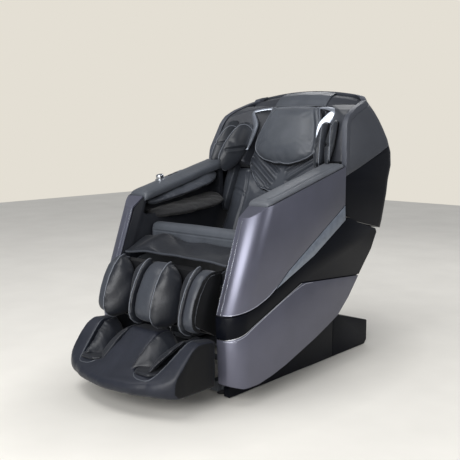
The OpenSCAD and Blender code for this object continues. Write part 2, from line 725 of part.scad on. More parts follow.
// cushion whose sides follow a list of [height, half width]
module shield(half, y, t, rise, nu, nv, edge) {
  lo = half[0][0];
  hi = half[len(half) - 1][0];
  mid = (lo + hi) / 2;
  quilt(2, hi - lo, t, rise, edge = edge, round = 0, nu = nu, nv = nv, back = 0.97,
    place = function(p) [p.x * lookup(p.z + mid, half), p.y + y, p.z + mid]);
}
// straight cutter round the upper pad, wider by d
module neck_pocket(d) {
  side = [for (h = neck_half) [h[1] + d, h[0]]];
  lo = neck_half[0];
  hi = neck_half[len(neck_half) - 1];
  outline = [[lo[1] + d, lo[0] - d], each side, [hi[1] + d, hi[0] + d + 12]];
  translate([0, pad_back + 2, 0]) rotate([90, 0, 0]) linear_extrude(140)
    polygon([each outline, each reversed([for (p = outline) [-p.x, p.y]])]);
}

back_pad_h = 418;
module back_pad() {
  color(leather) on_back() difference() {
    translate([0, pad_back, 30 + back_pad_h / 2])
      quilt(2 * wall_x - 8, back_pad_h, back_pad_t, function(u, v)
        (1 - pow(abs(u), 5)) * (1 - pow(abs(v), 6)) * (0.7 + 0.3 * pow(abs(u), 2))
        * (1 - 0.3 * exp(-pow((abs(u) - 0.62) * 16, 2)) - 0.2 * exp(-pow((v + 0.3 - 0.4 * abs(u)) * 14, 2))),
        nu = 18, nv = 12, round = 0.06, edge = 0.5);
    neck_pocket(0.5);
  }
}

// upper back pad with chevron ribs, which runs up behind the pillow
module neck_pad() {
  color(leather) on_back() shield(neck_half, pad_back, back_pad_t, function(u, v)
    soft_dome(u, v) * (1 - 0.24 * pow(cos(180 * (2.6 * v - 2.2 * abs(u))), 6)), 20, 18, 0.5);
}

// padded wing: a slanted face from the upper pad out to the hood's rim, a roof pad above it,
// and two leaf-shaped airbags that stand out from the face like the pages of a book
face_x = 170;                  // where the wing's face starts, and its local depth there
face_y = -35;
face_slope = 0.62;
wing_x = 150;                  // inner edge of the wing pad, and its lower and upper ends up the back
wing_low = 450;
wing_high = 756;
roof_line = [[506, 1146], [526, 1170], [552, 1192], [596, 1208]];
roof_t = 16;
roof_x = 314;
flap_x = 148;                  // half width and thickness of the flap that lies on the roof pad
flap_t = 6.5;
// strip of thickness t on a line of the side view, carried across the roof's arch past each x
module arched(line, t, xs) {
  ring = concat(line, reversed(shifted(line, t)));
  loft([for (x = xs) [for (p = ring) [x, p.x, p.y - roof_drop(x)]]], strip = true);
}
function face_at(x) = face_y - face_slope * (x - face_x);
module headliner() {
  intersection() {
    on_back() difference() {
      translate([0, 0, wing_low]) linear_extrude(wing_high - wing_low)
        polygon([[wing_x, pad_back], [wing_x, face_at(wing_x)], [half_w, face_at(half_w)], [half_w, pad_back]]);
      neck_pocket(0.5);
    }
    slab(inset(hood_side, 4), wing_x - 1, half_w);
    hood_space(800, 1200, rim_w + 0.5);
  }
  intersection() {
    arched(roof_line, -roof_t, [0, flap_x / 2, flap_x, (flap_x + roof_x) / 2, roof_x]);
    hood_space(1000, 1225, rim_w + 0.5);
  }
}

// plate on the wing's face, from an outline in local x and height; z0 and z1 are measured out of the face
module wing_plate(outline, z0, z1) {
  on_back() translate([face_x, face_y, 0]) rotate([90, 0, -atan(face_slope)]) translate([0, 0, z0])
    linear_extrude(z1 - z0) polygon([for (p = outline) [(p.x - face_x) / cos(atan(face_slope)), p.y]]);
}
speaker_t = 9;
speaker_field = [[150, 490], [212, 490], [262, 600], [276, 650], [276, 775], [150, 775]];
wing_field = [[0, 300], [500, 300], [500, 900], [0, 900]];
arm_sweep_r = 462;             // the back's side parts clear the arm pad's end outside this radius
module wing_leaf(at, w, h, t, lean, tilt) {
  difference() {
    translate(at) rotate([-lean, 0, 0]) rotate([0, -tilt, 0]) rotate([0, 0, -65])
      quilt(w, h, t, function(u, v) soft_dome(u, v) * (1 - 0.12 * exp(-pow(v * 9, 2))),
        nu = 8, nv = 12, round = 0.8, edge = 0.4);
    wing_plate(speaker_field, 0, speaker_t + 0.5);
    wing_plate(wing_field, -300, hair);
    intersection() {
      bar_x(back_pivot.x, back_pivot.y, arm_sweep_r, pad_in - 1, half_w);
      translate([pad_in - 1, 0, 0]) cube([200, arm_rear_y - 1, 1200]);
    }
  }
}

module shoulder_airbags() {
  color(leather) {
    headliner();
    wing_leaf([263, 351, 949], 112, 222, 44, 30, 15);
    wing_leaf([320, 352, 957], 112, 205, 42, 25, 14);
  }
}

// boomerang-shaped speaker bezel on the wing's face: outline in local x and height
bezel_outer = [[160, 760], [262, 722], [266, 704], [246, 660], [224, 600], [206, 530], [196, 508], [186, 512]];
bezel_inner = [[190, 560], [205, 640], [226, 694], [166, 722]];
module speaker() {
  color(chrome) difference() {
    wing_plate(concat(bezel_outer, bezel_inner), hair, speaker_t);
    // sound holes down the outer edge
    for (i = [0:7]) let (x = lerp(214, 242, i / 7), z = lerp(585, 672, i / 7))
      on_back() translate([x, face_at(x) - 4, z]) rotate([90, 0, -atan(face_slope)])
        cylinder(r = 2.4, h = 20, $fn = 16);
    on_back() neck_pocket(1);
  }
}

pillow_y = -33;                // local y of the pillow's rear face
hinge_at = [-34.2, 755];       // local y and height of the sewn seam on which the pillow turns
hinge_r = 5;
module head_pillow() {
  color(leather) on_back() shield(pillow_half, pillow_y, 54, function(u, v)
    (1 - pow(abs(u), 4)) * (1 - pow(abs(v), 5)) * (1 - 0.15 * v), 16, 14, 0.38);
}

// flap that carries the pillow over the front of the roof, with the corded seam it turns on
module pillow_flap() {
  color(leather) {
    translate([0, 0, hair]) arched(roof_line, flap_t, [for (i = [-2:2]) i * flap_x / 2]);
    on_back() bar_x(hinge_at.x, hinge_at.y, hinge_r, -flap_x + 12, flap_x - 12);
  }
}

// ================= massage carriage =================
carriage_z = 170;              // local height of the carriage's centre at rest
arm_x = 66;
roller_w = 34;
knuckle_y = 96;
roller_y = 68;
roller_gap = 76;
module massage_carriage() {
  color(steel) on_back() translate([0, 0, carriage_z]) {
    difference() {
      union() {
        both_sides() translate([rod_x, rod_y, -60]) cylinder(r = 15, h = 120);
        translate([-rod_x, rod_y - 3, -56]) cube([2 * rod_x, 6, 112]);
        for (s = [-1, 1]) translate([s * 140 - 3, knuckle_y - 14, -22])
          cube([6, rod_y - knuckle_y + 16, 44]);
      }
      both_sides() translate([rod_x, rod_y, -61]) cylinder(r = 8 + run, h = 122);
    }
    bar_x(knuckle_y, 0, 7, -141, 141);
    // kneading motor, tapping motor and gearbox behind the plate
    translate([-60, rod_y + 2, -20]) cube([120, 46, 66]);
    for (s = [-1, 1]) translate([s * 34, rod_y + 26, -54]) cylinder(r = 20, h = 36);
  }
}

module knead_arm(side) {
  color(chrome) on_back() translate([side * arm_x, 0, carriage_z]) difference() {
    union() {
      translate([-4, 0, 0]) bar_x(knuckle_y, 0, 15, 0, 8);
      slab([[knuckle_y - 10, -10], [knuckle_y + 4, 12], [roller_y + 6, roller_gap + 6],
        [roller_y - 8, roller_gap + 6], [roller_y - 8, roller_gap - 10], [knuckle_y - 14, 0],
        [roller_y - 8, -roller_gap + 10], [roller_y - 8, -roller_gap - 6], [roller_y + 6, -roller_gap - 6],
        [knuckle_y + 4, -12]], -4, 4);
      for (z = [-roller_gap, roller_gap]) bar_x(roller_y, z, 5, side > 0 ? 3 : -roller_w - 8,
        side > 0 ? roller_w + 8 : -3);
    }
    bar_x(knuckle_y, 0, 7 + run, -5, 5);
  }
}

module massage_roller(side, up) {
  color("#8a6a4a") on_back()
    translate([side * (arm_x + 4.5 + clear), roller_y, carriage_z + up * roller_gap])
      rotate([0, side * 90, 0]) rotate_extrude() polygon([[5 + run, 0], [13, 0], [22, 2], [roller_r - 1, 9],
        [roller_r, 17], [roller_r - 1, 25], [22, 32], [13, roller_w], [5 + run, roller_w]]);
}

// ================= leg rest =================
calf_x = calf_w / 2;
// front of the leg rest in the side view, over the leather, from top to bottom
calf_track = [[-378, 520], [-412, 520], [-440, 508], [-467, 482], [-492, 440], [-511, 397], [-523, 355],
  [-525, 325], [-516, 302], [-496, 286], [-470, 279]];
band_t = 24;
calf_core = concat([[-352, 500]], shifted(calf_track, band_t), [[-392, 262], [-384, 262]]);
channel_floor = [[-388, 560], [-416, 240], [-620, 240], [-500, 560]];
web_x = 22;                    // half thickness of the centre web, and of each outer wall
slide_lean = 5.7;              // lean of the foot rest's guide rods
rod_top = [-381, 470];
module calf_shell() {
  color(satin_black) {
    difference() {
      slab(calf_core, -calf_x + 4, calf_x - 4);
      both_sides() slab(channel_floor, web_x, calf_x - web_x);
      both_sides() guide_rod(7 + run, 250);
    }
    // hinge ears and slotted lever
    both_sides() {
      difference() {
        slab([[-345, 490], [-318, 482], [-316, 460], [-340, 440], [-372, 400], [-372, 496]], 228, 236);
        bar_x(leg_pivot.x, leg_pivot.y, 8 + run, 227, 237);
      }
      difference() {
        slab([[-366, 486], [-322, 484], [-265, 412], [-262, 390], [-284, 382], [-366, 440]], 11, 18);
        bar_x(leg_pivot.x, leg_pivot.y, 8 + run, 10, 19);
        translate([0, leg_pivot.x, leg_pivot.y]) rotate([37.5, 0, 0])
          slab([[-9, -53], [9, -53], [9, -83], [-9, -83]], 10, 19);
      }
    }
  }
}

// rounded front bands on the two outer walls and the centre web
band_len = stations(calf_track)[len(calf_track) - 1];
module calf_band(x0, x1) {
  translate([(x0 + x1) / 2, 0, 0])
    quilt(x1 - x0, 1, band_t + 6, soft_dome, nu = 6, nv = 14, round = 0.1, edge = 0.6, back = 0.98,
      curved = true, place = function(p)
        let (q = along(calf_track, (0.5 - p.z) * band_len), c = q[0] + q[1] * (band_t + 4 + p.y))
          [p.x, c.x, c.y]);
}
module calf_bands() {
  color(leather) difference() {
    union() {
      calf_band(-50, 50);
      both_sides() calf_band(calf_x - 56, calf_x + 2);
    }
    slab(calf_core, -calf_x - 3, calf_x + 3);
  }
}

// crowned pads on the walls of the channels
channel_pad_t = (calf_x - 2 * web_x - channel_w) / 2;
module calf_pad(x, flip) {
  translate([x, -450, 388]) rotate([-15, 0, 0]) rotate([0, 0, flip * 90])
    quilt(100, 224, channel_pad_t, soft_dome, nu = 6, nv = 10, round = 0.4, edge = 0.35);
}
module calf_pads() {
  color(leather_dark) both_sides() intersection() {
    union() {
      calf_pad(calf_x - web_x, -1);
      calf_pad(web_x, 1);
    }
    slab(channel_floor, web_x, calf_x - web_x);
    slab(calf_core, 0, calf_x);
  }
}

// ================= foot rest =================
foot_x = foot_w / 2;
foot_bottom = 78;
foot_mid = [[-432, 262], [-505, 264], [-520, 256], [-640, 172], [-700, 136], [-730, 124], [-740, 108],
  [-736, 90], [-716, foot_bottom], [-432, foot_bottom]];
foot_end = [[-432, 256], [-520, 266], [-552, 252], [-586, 222], [-604, 190], [-613, 165], [-617, 128],
  [-615, 98], [-600, foot_bottom], [-432, foot_bottom]];
foot_corner = 2.2;             // squareness of the nose in plan
foot_centre = [-540, 170];
module foot_body() {
  loft([for (s = [-1, -0.985, -0.95, -0.87, -0.74, -0.5, 0, 0.5, 0.74, 0.87, 0.95, 0.985, 1])
    let (k = 1 - pow(1 - pow(abs(s), foot_corner), 1 / foot_corner), shrink = abs(s) == 1 ? 6 : 0)
    [for (i = [0:len(foot_mid) - 1]) let (p = lerp(foot_mid[i], foot_end[i], k),
      q = p.x > -433 ? p : p + unit(foot_centre - p) * shrink) [s * foot_x, q.x, q.y]]]);
}

// wells for the feet: side outline and plan
well_side = [[-426, 320], [-426, 158], [-470, 148], [-640, 140], [-672, 152], [-668, 168], [-600, 320]];
well_plan = [[74, -420], [254, -420], [250, -500], [234, -570], [212, -650], [192, -678], [120, -678],
  [98, -650], [80, -560]];
module well() {
  intersection() {
    slab(well_side, 60, foot_x);
    translate([0, 0, 100]) linear_extrude(300) polygon(well_plan);
  }
}

sole_y = -548;
sole_z = 126;
module foot_shell() {
  color(leather_dark) difference() {
    foot_body();
    both_sides() well();
    // pocket and bearings of the sole roller
    both_sides() bar_x(sole_y, sole_z, 21, 106, 214);
    bar_x(sole_y, sole_z, 6 + run, -230, 230);
    both_sides() guide_rod(7, 600);
  }
  // bridge that holds the guide rods
  color(leather_dark) both_sides() difference() {
    translate([rod_at - 16, -434, 110]) cube([32, 50, 120]);
    guide_rod(7, 600);
  }
}

// round rods on which the foot rest slides out of the leg rest
rod_at = 36;
module guide_rod(r, length) {
  translate([rod_at, rod_top.x, rod_top.y]) rotate([180 - slide_lean, 0, 0])
    translate([0, 0, length > 400 ? 0 : -10]) cylinder(r = r, h = length);
}
module foot_guide_rods() {
  color(silver) both_sides() guide_rod(7, 350);
}

module foot_pad(x, flip) {
  translate([x, -520, 196]) rotate([-50, 0, 0]) rotate([0, 0, flip * 90])
    quilt(64, 170, 30, soft_dome, nu = 6, nv = 8, round = 0.5, edge = 0.35);
}
module foot_pads() {
  color(leather_dark) both_sides() intersection() {
    union() {
      foot_pad(250, -1);
      foot_pad(76, 1);
    }
    well();
  }
}

module sole_roller() {
  color("#8a6a4a") {
    bar_x(sole_y, sole_z, 6, -228, 228);
    // eccentric discs, a quarter turn apart
    both_sides() for (i = [0:3]) translate([112 + i * 24, sole_y, sole_z]) rotate([i * 90, 0, 0])
      bar_x(0, 4, 15, 0, 18);
  }
}

base_frame();
base_covers();
rear_cover();
power_supply();
power_inlet();
floor_feet();
power_switch();
transport_wheel();  // transport_wheel_left
mirror([1, 0, 0]) transport_wheel();  // transport_wheel_right
seat_frame();
glide_shoes();
side_casing();  // side_casing_left
mirror([1, 0, 0]) side_casing();  // side_casing_right
arm_panel();  // arm_panel_left
mirror([1, 0, 0]) arm_panel();  // arm_panel_right
side_bands();
lower_panel();  // lower_panel_left
mirror([1, 0, 0]) lower_panel();  // lower_panel_right
blade_trims();
edge_trims();
arm_pad();  // arm_pad_left
mirror([1, 0, 0]) arm_pad();  // arm_pad_right
forearm_airbags();
seat_cushion();
seat_roll();
seat_drape();
control_pod();
control_knob();
push_button(44);  // button_up
push_button(10);  // button_down
air_pump();
recline_actuator();
recline_rod();
legrest_actuator();
legrest_rod();
back_frame();
upper_back_cover();
lower_back_cover();
back_pad();
neck_pad();
shoulder_airbags();  // shoulder_airbags_left
mirror([1, 0, 0]) shoulder_airbags();  // shoulder_airbags_right
speaker();  // speaker_left
mirror([1, 0, 0]) speaker();  // speaker_right
head_pillow();
pillow_flap();
massage_carriage();
knead_arm(1);  // knead_arm_left
knead_arm(-1);  // knead_arm_right
massage_roller(1, 1);  // massage_roller_upper_left
massage_roller(1, -1);  // massage_roller_lower_left
massage_roller(-1, 1);  // massage_roller_upper_right
massage_roller(-1, -1);  // massage_roller_lower_right
calf_shell();
calf_bands();
calf_pads();
foot_shell();
foot_guide_rods();
foot_pads();
sole_roller();
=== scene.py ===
import json
import math
import bpy
import numpy as np
from mathutils import Matrix, Vector
from mathutils.bvhtree import BVHTree


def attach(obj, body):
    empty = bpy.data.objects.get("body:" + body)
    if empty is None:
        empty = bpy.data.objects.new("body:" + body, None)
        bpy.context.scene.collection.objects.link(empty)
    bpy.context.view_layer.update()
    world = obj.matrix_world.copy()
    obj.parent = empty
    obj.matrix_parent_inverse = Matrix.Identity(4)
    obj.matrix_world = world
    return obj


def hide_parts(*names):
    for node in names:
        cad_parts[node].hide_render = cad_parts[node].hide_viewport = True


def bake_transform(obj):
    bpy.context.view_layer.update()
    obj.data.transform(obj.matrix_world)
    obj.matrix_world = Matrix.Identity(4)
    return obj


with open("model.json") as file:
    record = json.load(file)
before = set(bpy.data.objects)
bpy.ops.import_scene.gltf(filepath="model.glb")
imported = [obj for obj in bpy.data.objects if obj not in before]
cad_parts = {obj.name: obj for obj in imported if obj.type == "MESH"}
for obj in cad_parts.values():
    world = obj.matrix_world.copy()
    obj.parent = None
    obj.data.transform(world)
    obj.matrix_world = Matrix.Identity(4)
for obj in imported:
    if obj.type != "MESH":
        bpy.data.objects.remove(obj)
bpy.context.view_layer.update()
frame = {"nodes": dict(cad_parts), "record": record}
print("frame loaded:", len(frame["nodes"]), "nodes")

camera = {"place": (2.151, -2.451, 1.056), "azimuth": 41.28, "drop": 7.93, "lens": 59.17, "sensor": 36}
bpy.ops.object.select_all(action="DESELECT")
bpy.ops.object.camera_add(location=camera["place"],
                          rotation=(math.radians(90 - camera["drop"]), 0, math.radians(camera["azimuth"])))
cameraObject = bpy.context.object
cameraObject.data.lens = camera["lens"]
cameraObject.data.sensor_width = camera["sensor"]  # mm, as the lens
bpy.context.scene.camera = cameraObject
bpy.context.scene.view_settings.view_transform = "Standard"


def hexColor(value):  # sRGB hex to linear
    parts = [int(value[i:i + 2], 16) / 255 for i in (1, 3, 5)]
    return [p / 12.92 if p <= 0.04045 else ((p + 0.055) / 1.055) ** 2.4 for p in parts] + [1.0]


def addNode(tree, kind, settings=None, links=None):  # one node with its settings and links
    node = tree.nodes.new(kind)
    for key, value in (settings or {}).items():
        if isinstance(key, str) and hasattr(node, key):
            setattr(node, key, value)
        else:
            node.inputs[key].default_value = value
    for key, socket in (links or {}).items():
        tree.links.new(socket, node.inputs[key])
    return node


def newMaterial(name, settings):  # principled surface with its fixed values, and the coordinates it reads
    material = bpy.data.materials.new(name)
    material.use_nodes = True
    tree = material.node_tree
    tree.nodes.clear()
    shader = addNode(tree, "ShaderNodeBsdfPrincipled", settings)
    addNode(tree, "ShaderNodeOutputMaterial", {}, {"Surface": shader.outputs[0]})
    return material, tree, shader, addNode(tree, "ShaderNodeTexCoord").outputs["Object"]


def mottled(tree, place, size, low, high):  # two shades of one colour in soft patches of a size in mm
    patches = addNode(tree, "ShaderNodeTexNoise", {"Scale": 1000 / size, "Detail": 3.0, "Roughness": 0.55},
                      {"Vector": place})
    ramp = addNode(tree, "ShaderNodeValToRGB", {}, {"Fac": patches.outputs["Fac"]})
    for element, position, shade in zip(ramp.color_ramp.elements, (0.3, 0.7), (low, high)):
        element.position = position
        element.color = hexColor(shade)
    return ramp.outputs["Color"], patches.outputs["Fac"]


def finished(tree, shader, color, gloss, height, strength, distance, under=None):
    # wires a finish to its surface: colour, roughness spread between two limits, and the relief of a height
    relief = addNode(tree, "ShaderNodeBump", {"Strength": strength, "Distance": distance}, {"Height": height})
    if under:
        tree.links.new(under, relief.inputs["Normal"])
    if gloss:
        value, low, high = gloss
        spread = addNode(tree, "ShaderNodeMapRange", {"To Min": low, "To Max": high}, {"Value": value})
        tree.links.new(spread.outputs["Result"], shader.inputs["Roughness"])
    tree.links.new(color, shader.inputs["Base Color"])
    tree.links.new(relief.outputs[0], shader.inputs["Normal"])


def floorMaterial(shade):  # pale matte floor, a little brighter to the camera away from the chair: painted shadow on the ground under it
    material, tree, shader, place = newMaterial("pale_floor", {"Roughness": 0.9})
    color, _ = mottled(tree, place, shade["patches"], shade["low"], shade["high"])
    tree.links.new(color, shader.inputs["Base Color"])
    tree.links.new(color, shader.inputs["Emission Color"])
    rays = addNode(tree, "ShaderNodeLightPath")
    near = addNode(tree, "ShaderNodeMapping", {"Scale": shade["footprint"]}, {"Vector": place})
    away = addNode(tree, "ShaderNodeVectorMath", {"operation": "LENGTH"}, {0: near.outputs[0]})
    glow = addNode(tree, "ShaderNodeMapRange", {"From Min": shade["dark"], "From Max": shade["full"],
                                                "To Max": shade["glow"]},
                   {"Value": away.outputs["Value"]})  # painted shadow: no added glow on the ground under the chair
    seen = addNode(tree, "ShaderNodeMath", {"operation": "MULTIPLY"},
                   {0: rays.outputs["Is Camera Ray"], 1: glow.outputs[0]})
    tree.links.new(seen.outputs[0], shader.inputs["Emission Strength"])
    return material


floor = {"size": 14.0, "low": "#d3d0c9", "high": "#d9d6cf", "patches": 420, "glow": 0.36,
         "footprint": (2.2, 1.25, 1), "dark": 0.7, "full": 1.6}  # scaled to be about 1 at the chair's edge; dark and full bound the painted shadow under the chair
bpy.ops.object.select_all(action="DESELECT")
bpy.ops.mesh.primitive_grid_add(x_subdivisions=4, y_subdivisions=4, size=floor["size"], location=(0, 0, 0))
floorObject = bpy.context.object
floorObject.name = "studio_floor"
floorObject.data.materials.append(floorMaterial(floor))

lights = {
    "frontBox": {"place": (1.35, -4.0, 1.9), "aim": (0.3, -0.25, 0.55), "size": (3.0, 2.6), "power": 160},
    "topBox": {"place": (-0.5, -1.6, 3.6), "aim": (0.0, 0.1, 0.6), "size": (2.6, 1.6), "power": 56},
    "sideFill": {"place": (4.4, 1.4, 2.6), "aim": (0.3, 0.2, 0.6), "size": (2.2, 2.0), "power": 34},
    "rearTop": {"place": (-0.9, 3.1, 2.9), "aim": (0.0, 0.3, 0.9), "size": (2.4, 1.2), "power": 30},
}
for name, light in lights.items():
    away = Vector(light["place"]) - Vector(light["aim"])
    turn = away.to_track_quat("Z", "Y").to_euler()
    bpy.ops.object.light_add(type="AREA", location=light["place"], rotation=turn)
    lamp = bpy.context.object
    lamp.name = name
    lamp.data.shape = "RECTANGLE"
    lamp.data.size, lamp.data.size_y = light["size"]
    lamp.data.energy = light["power"]

studio = {"seen": "#e4dfd4", "ambient": "#c9ccd2", "strength": 0.42}
world = bpy.data.worlds.new("studio")
bpy.context.scene.world = world
world.use_nodes = True
worldTree = world.node_tree
worldTree.nodes.clear()
rays = addNode(worldTree, "ShaderNodeLightPath")
direct = addNode(worldTree, "ShaderNodeMath", {"operation": "MAXIMUM"},
                 {0: rays.outputs["Is Camera Ray"], 1: rays.outputs["Is Transmission Ray"]})
ambient = addNode(worldTree, "ShaderNodeBackground", {"Color": hexColor(studio["ambient"]),
                                                      "Strength": studio["strength"]})
backdrop = addNode(worldTree, "ShaderNodeBackground", {"Color": hexColor(studio["seen"]), "Strength": 1.0})
mixed = addNode(worldTree, "ShaderNodeMixShader", {}, {0: direct.outputs[0], 1: ambient.outputs[0],
                                                       2: backdrop.outputs[0]})
addNode(worldTree, "ShaderNodeOutputWorld", {}, {"Surface": mixed.outputs[0]})
print("camera, floor and lights made")


def lacqueredAbs(name, low, high, metallic, roughness, coat, coatRoughness):
    # moulded ABS under metallic base coat and clear lacquer: fine flakes, broad soft highlights
    material, tree, shader, place = newMaterial(name, {"Metallic": metallic, "Coat Weight": coat,
                                                       "Coat Roughness": coatRoughness, "IOR": 1.5})
    color, patches = mottled(tree, place, 260, low, high)
    flakeSize = 0.9  # mm; real flakes of 0.1 mm are too fine to draw
    flakes = addNode(tree, "ShaderNodeTexVoronoi", {"Scale": 1000 / flakeSize}, {"Vector": place})
    gloss = (patches, roughness - 0.03, roughness + 0.03)
    finished(tree, shader, color, gloss, flakes.outputs["Distance"], 0.05, 0.0002)
    return material


def mouldedAbs(name, low, high, roughness, grainSize, level=0.5):
    # moulded ABS straight from the tool: fine spark grain that breaks the gloss
    material, tree, shader, place = newMaterial(name, {"IOR": 1.5, "Specular IOR Level": level})
    color, patches = mottled(tree, place, 180, low, high)
    spark = addNode(tree, "ShaderNodeTexNoise", {"Scale": 1000 / grainSize, "Detail": 2.0}, {"Vector": place})
    gloss = (patches, roughness - 0.04, roughness + 0.05)
    finished(tree, shader, color, gloss, spark.outputs["Fac"], 0.12, 0.0002)
    return material


def leatherette(name, low, high, roughness, slack=0.35, coat=0.12, level=0.4):
    # embossed polyurethane leather over foam: pebble grain, soft puckers, a slight waxy sheen
    material, tree, shader, place = newMaterial(name, {
        "Coat Weight": coat, "Coat Roughness": 0.3, "IOR": 1.47, "Specular IOR Level": level,
        "Sheen Weight": 0.06, "Sheen Roughness": 0.4})
    grainSize, puckerSize = 1.3, 34  # mm
    color, patches = mottled(tree, place, 95, low, high)
    pebbles = addNode(tree, "ShaderNodeTexVoronoi", {"feature": "DISTANCE_TO_EDGE",
                                                     "Scale": 1000 / grainSize}, {"Vector": place})
    puckers = addNode(tree, "ShaderNodeTexNoise", {"Scale": 1000 / puckerSize, "Detail": 2.5,
                                                   "Distortion": 0.7}, {"Vector": place})
    soft = addNode(tree, "ShaderNodeBump", {"Strength": slack, "Distance": 0.004},
                   {"Height": puckers.outputs["Fac"]})
    gloss = (patches, roughness - 0.05, roughness + 0.06)
    finished(tree, shader, color, gloss, pebbles.outputs["Distance"], 0.22, 0.0003, under=soft.outputs[0])
    return material


def wovenMesh(name, low, high, pitch):
    # plain woven nylon mesh: threads cross at a fixed pitch in mm, matt with a faint sheen
    material, tree, shader, place = newMaterial(name, {"Sheen Weight": 0.1, "Sheen Roughness": 0.5,
                                                       "Roughness": 0.85})
    wave = {"Scale": 2 * 1000 / pitch / math.tau, "Distortion": 0.6, "Detail": 1.0}
    threads = [addNode(tree, "ShaderNodeTexWave", {**wave, "bands_direction": way}, {"Vector": place})
               for way in ("Y", "Z")]
    cross = addNode(tree, "ShaderNodeMath", {"operation": "MULTIPLY"},
                    {number: thread.outputs["Fac"] for number, thread in enumerate(threads)})
    ramp = addNode(tree, "ShaderNodeValToRGB", {}, {"Fac": cross.outputs[0]})
    ramp.color_ramp.elements[0].color = hexColor(low)
    ramp.color_ramp.elements[1].color = hexColor(high)
    finished(tree, shader, ramp.outputs["Color"], None, cross.outputs[0], 0.5, 0.0006)
    return material


def polishedMetal(name, low, high, roughness, brushing=0.0, metallic=1.0):
    # plated, ground or drawn metal: faint lines or wipe marks in its gloss
    material, tree, shader, place = newMaterial(name, {"Metallic": metallic})
    stretch = (1, 1, 14) if brushing else (1, 1, 1)
    turned = addNode(tree, "ShaderNodeMapping", {"Scale": stretch}, {"Vector": place})
    color, patches = mottled(tree, turned.outputs[0], 22, low, high)
    gloss = (patches, roughness * 0.8, roughness * 1.25)
    finished(tree, shader, color, gloss, patches, max(brushing, 0.02), 0.0002)
    return material


def coated(name, low, high, roughness, grainSize, bump):
    # powder coat, rubber, nylon and cast resin: one colour with an orange-peel or pored skin
    material, tree, shader, place = newMaterial(name, {"IOR": 1.48})
    color, patches = mottled(tree, place, 60, low, high)
    peel = addNode(tree, "ShaderNodeTexNoise", {"Scale": 1000 / grainSize, "Detail": 2.0}, {"Vector": place})
    gloss = (patches, roughness - 0.05, roughness + 0.05)
    finished(tree, shader, color, gloss, peel.outputs["Fac"], bump, 0.0004)
    return material


materials = {
    "shell_paint": lacqueredAbs("lacquered_abs_slate_lavender", "#696a78", "#737484", 0.74, 0.38, 0.3, 0.25),
    "hood_paint": lacqueredAbs("lacquered_abs_dark_grey", "#3d4047", "#44474f", 0.12, 0.5, 0.2, 0.3),
    "rim_paint": lacqueredAbs("lacquered_abs_slate", "#42454d", "#4a4d56", 0.15, 0.5, 0.15, 0.35),
    "black_plastic": mouldedAbs("moulded_abs_black", "#0b0d13", "#10121a", 0.42, 1.6, 0.12),
    "black_gloss": mouldedAbs("polished_abs_black", "#0a0c12", "#0e1017", 0.3, 2.4, 0.12),
    "casing_plastic": mouldedAbs("moulded_abs_charcoal", "#1b1d22", "#22242a", 0.45, 1.6, 0.35),
    "silver_trim": polishedMetal("silver_lacquered_abs", "#8f98a6", "#a3acba", 0.32, metallic=0.75),
    "chrome_trim": polishedMetal("chrome_plated_abs", "#c9ccd2", "#dfe2e6", 0.13),
    "chrome_satin": polishedMetal("satin_chrome_abs", "#aab0bb", "#bcc2cc", 0.32, metallic=0.8),
    "edge_line": polishedMetal("silver_edge_lacquer", "#b4b6c4", "#c4c6d2", 0.28, metallic=0.5),
    "liner_leather": leatherette("leatherette_headliner", "#2b2d33", "#34373e", 0.5, slack=0.15),
    "leather": leatherette("leatherette_slate", "#33363d", "#3c4047", 0.44),
    "leather_pale": leatherette("leatherette_slate_pale", "#43474d", "#4e5259", 0.42, slack=0.2),
    # lighter copy of the far arm pad's leather, for the near arm pad: painted light
    "leather_arm": leatherette("leatherette_ash", "#55585e", "#5f6369", 0.5, slack=0.1),
    "leather_dark": leatherette("leatherette_blue_black", "#191b21", "#21242a", 0.42, coat=0.15),
    "leather_blue": leatherette("leatherette_ink_blue", "#1c1f28", "#242731", 0.46, level=0.3),
    "leather_wing": leatherette("leatherette_graphite", "#26292e", "#2e3137", 0.42),
    "leather_black": leatherette("leatherette_black", "#0b0c0e", "#101114", 0.5, 0.1, 0.05, 0.2),
    "piping": leatherette("leatherette_piping", "#62666e", "#70747c", 0.36, slack=0.0),
    # near-black welt: painted shadow behind the pillow's piping
    "piping_dark": leatherette("leatherette_piping_dark", "#0c0d10", "#131418", 0.5, slack=0.0, level=0.2),
    "airbag_fabric": wovenMesh("woven_nylon_mesh", "#0d0d0f", "#25262a", 1.9),
    "frame_steel": coated("powder_coated_steel", "#4a4d52", "#565a60", 0.5, 1.8, 0.18),
    "rod_steel": polishedMetal("ground_steel", "#9a9ea4", "#b4b8bd", 0.22, brushing=0.15),
    "drive_housing": coated("glass_filled_nylon_black", "#18191b", "#212326", 0.55, 1.4, 0.2),
    "supply_case": mouldedAbs("moulded_abs_silver_grey", "#8f9399", "#a0a4aa", 0.42, 1.6),
    "nylon": coated("natural_nylon", "#c6c4b8", "#d8d6cb", 0.45, 2.2, 0.1),
    "roller_nylon": coated("cast_polyurethane_tan", "#75583b", "#876647", 0.42, 1.8, 0.12),
    "foot_rubber": coated("moulded_rubber_black", "#121214", "#1c1c1f", 0.75, 1.2, 0.3),
    "button_rubber": coated("silicone_dark", "#1d1e21", "#26282c", 0.6, 1.2, 0.15),
}
print("materials made:", len(materials))


def pick(piece):  # selected alone, and active
    bpy.ops.object.select_all(action="DESELECT")
    piece.select_set(True)
    bpy.context.view_layer.objects.active = piece


def editing(piece):
    pick(piece)
    bpy.ops.object.mode_set(mode="EDIT")
    bpy.ops.mesh.select_all(action="SELECT")


def leaveEdit():
    bpy.ops.object.mode_set(mode="OBJECT")


def placed(name, add, **settings):  # a new primitive, selected alone
    bpy.ops.object.select_all(action="DESELECT")
    add(**settings)
    piece = bpy.context.object
    piece.name = name
    return piece


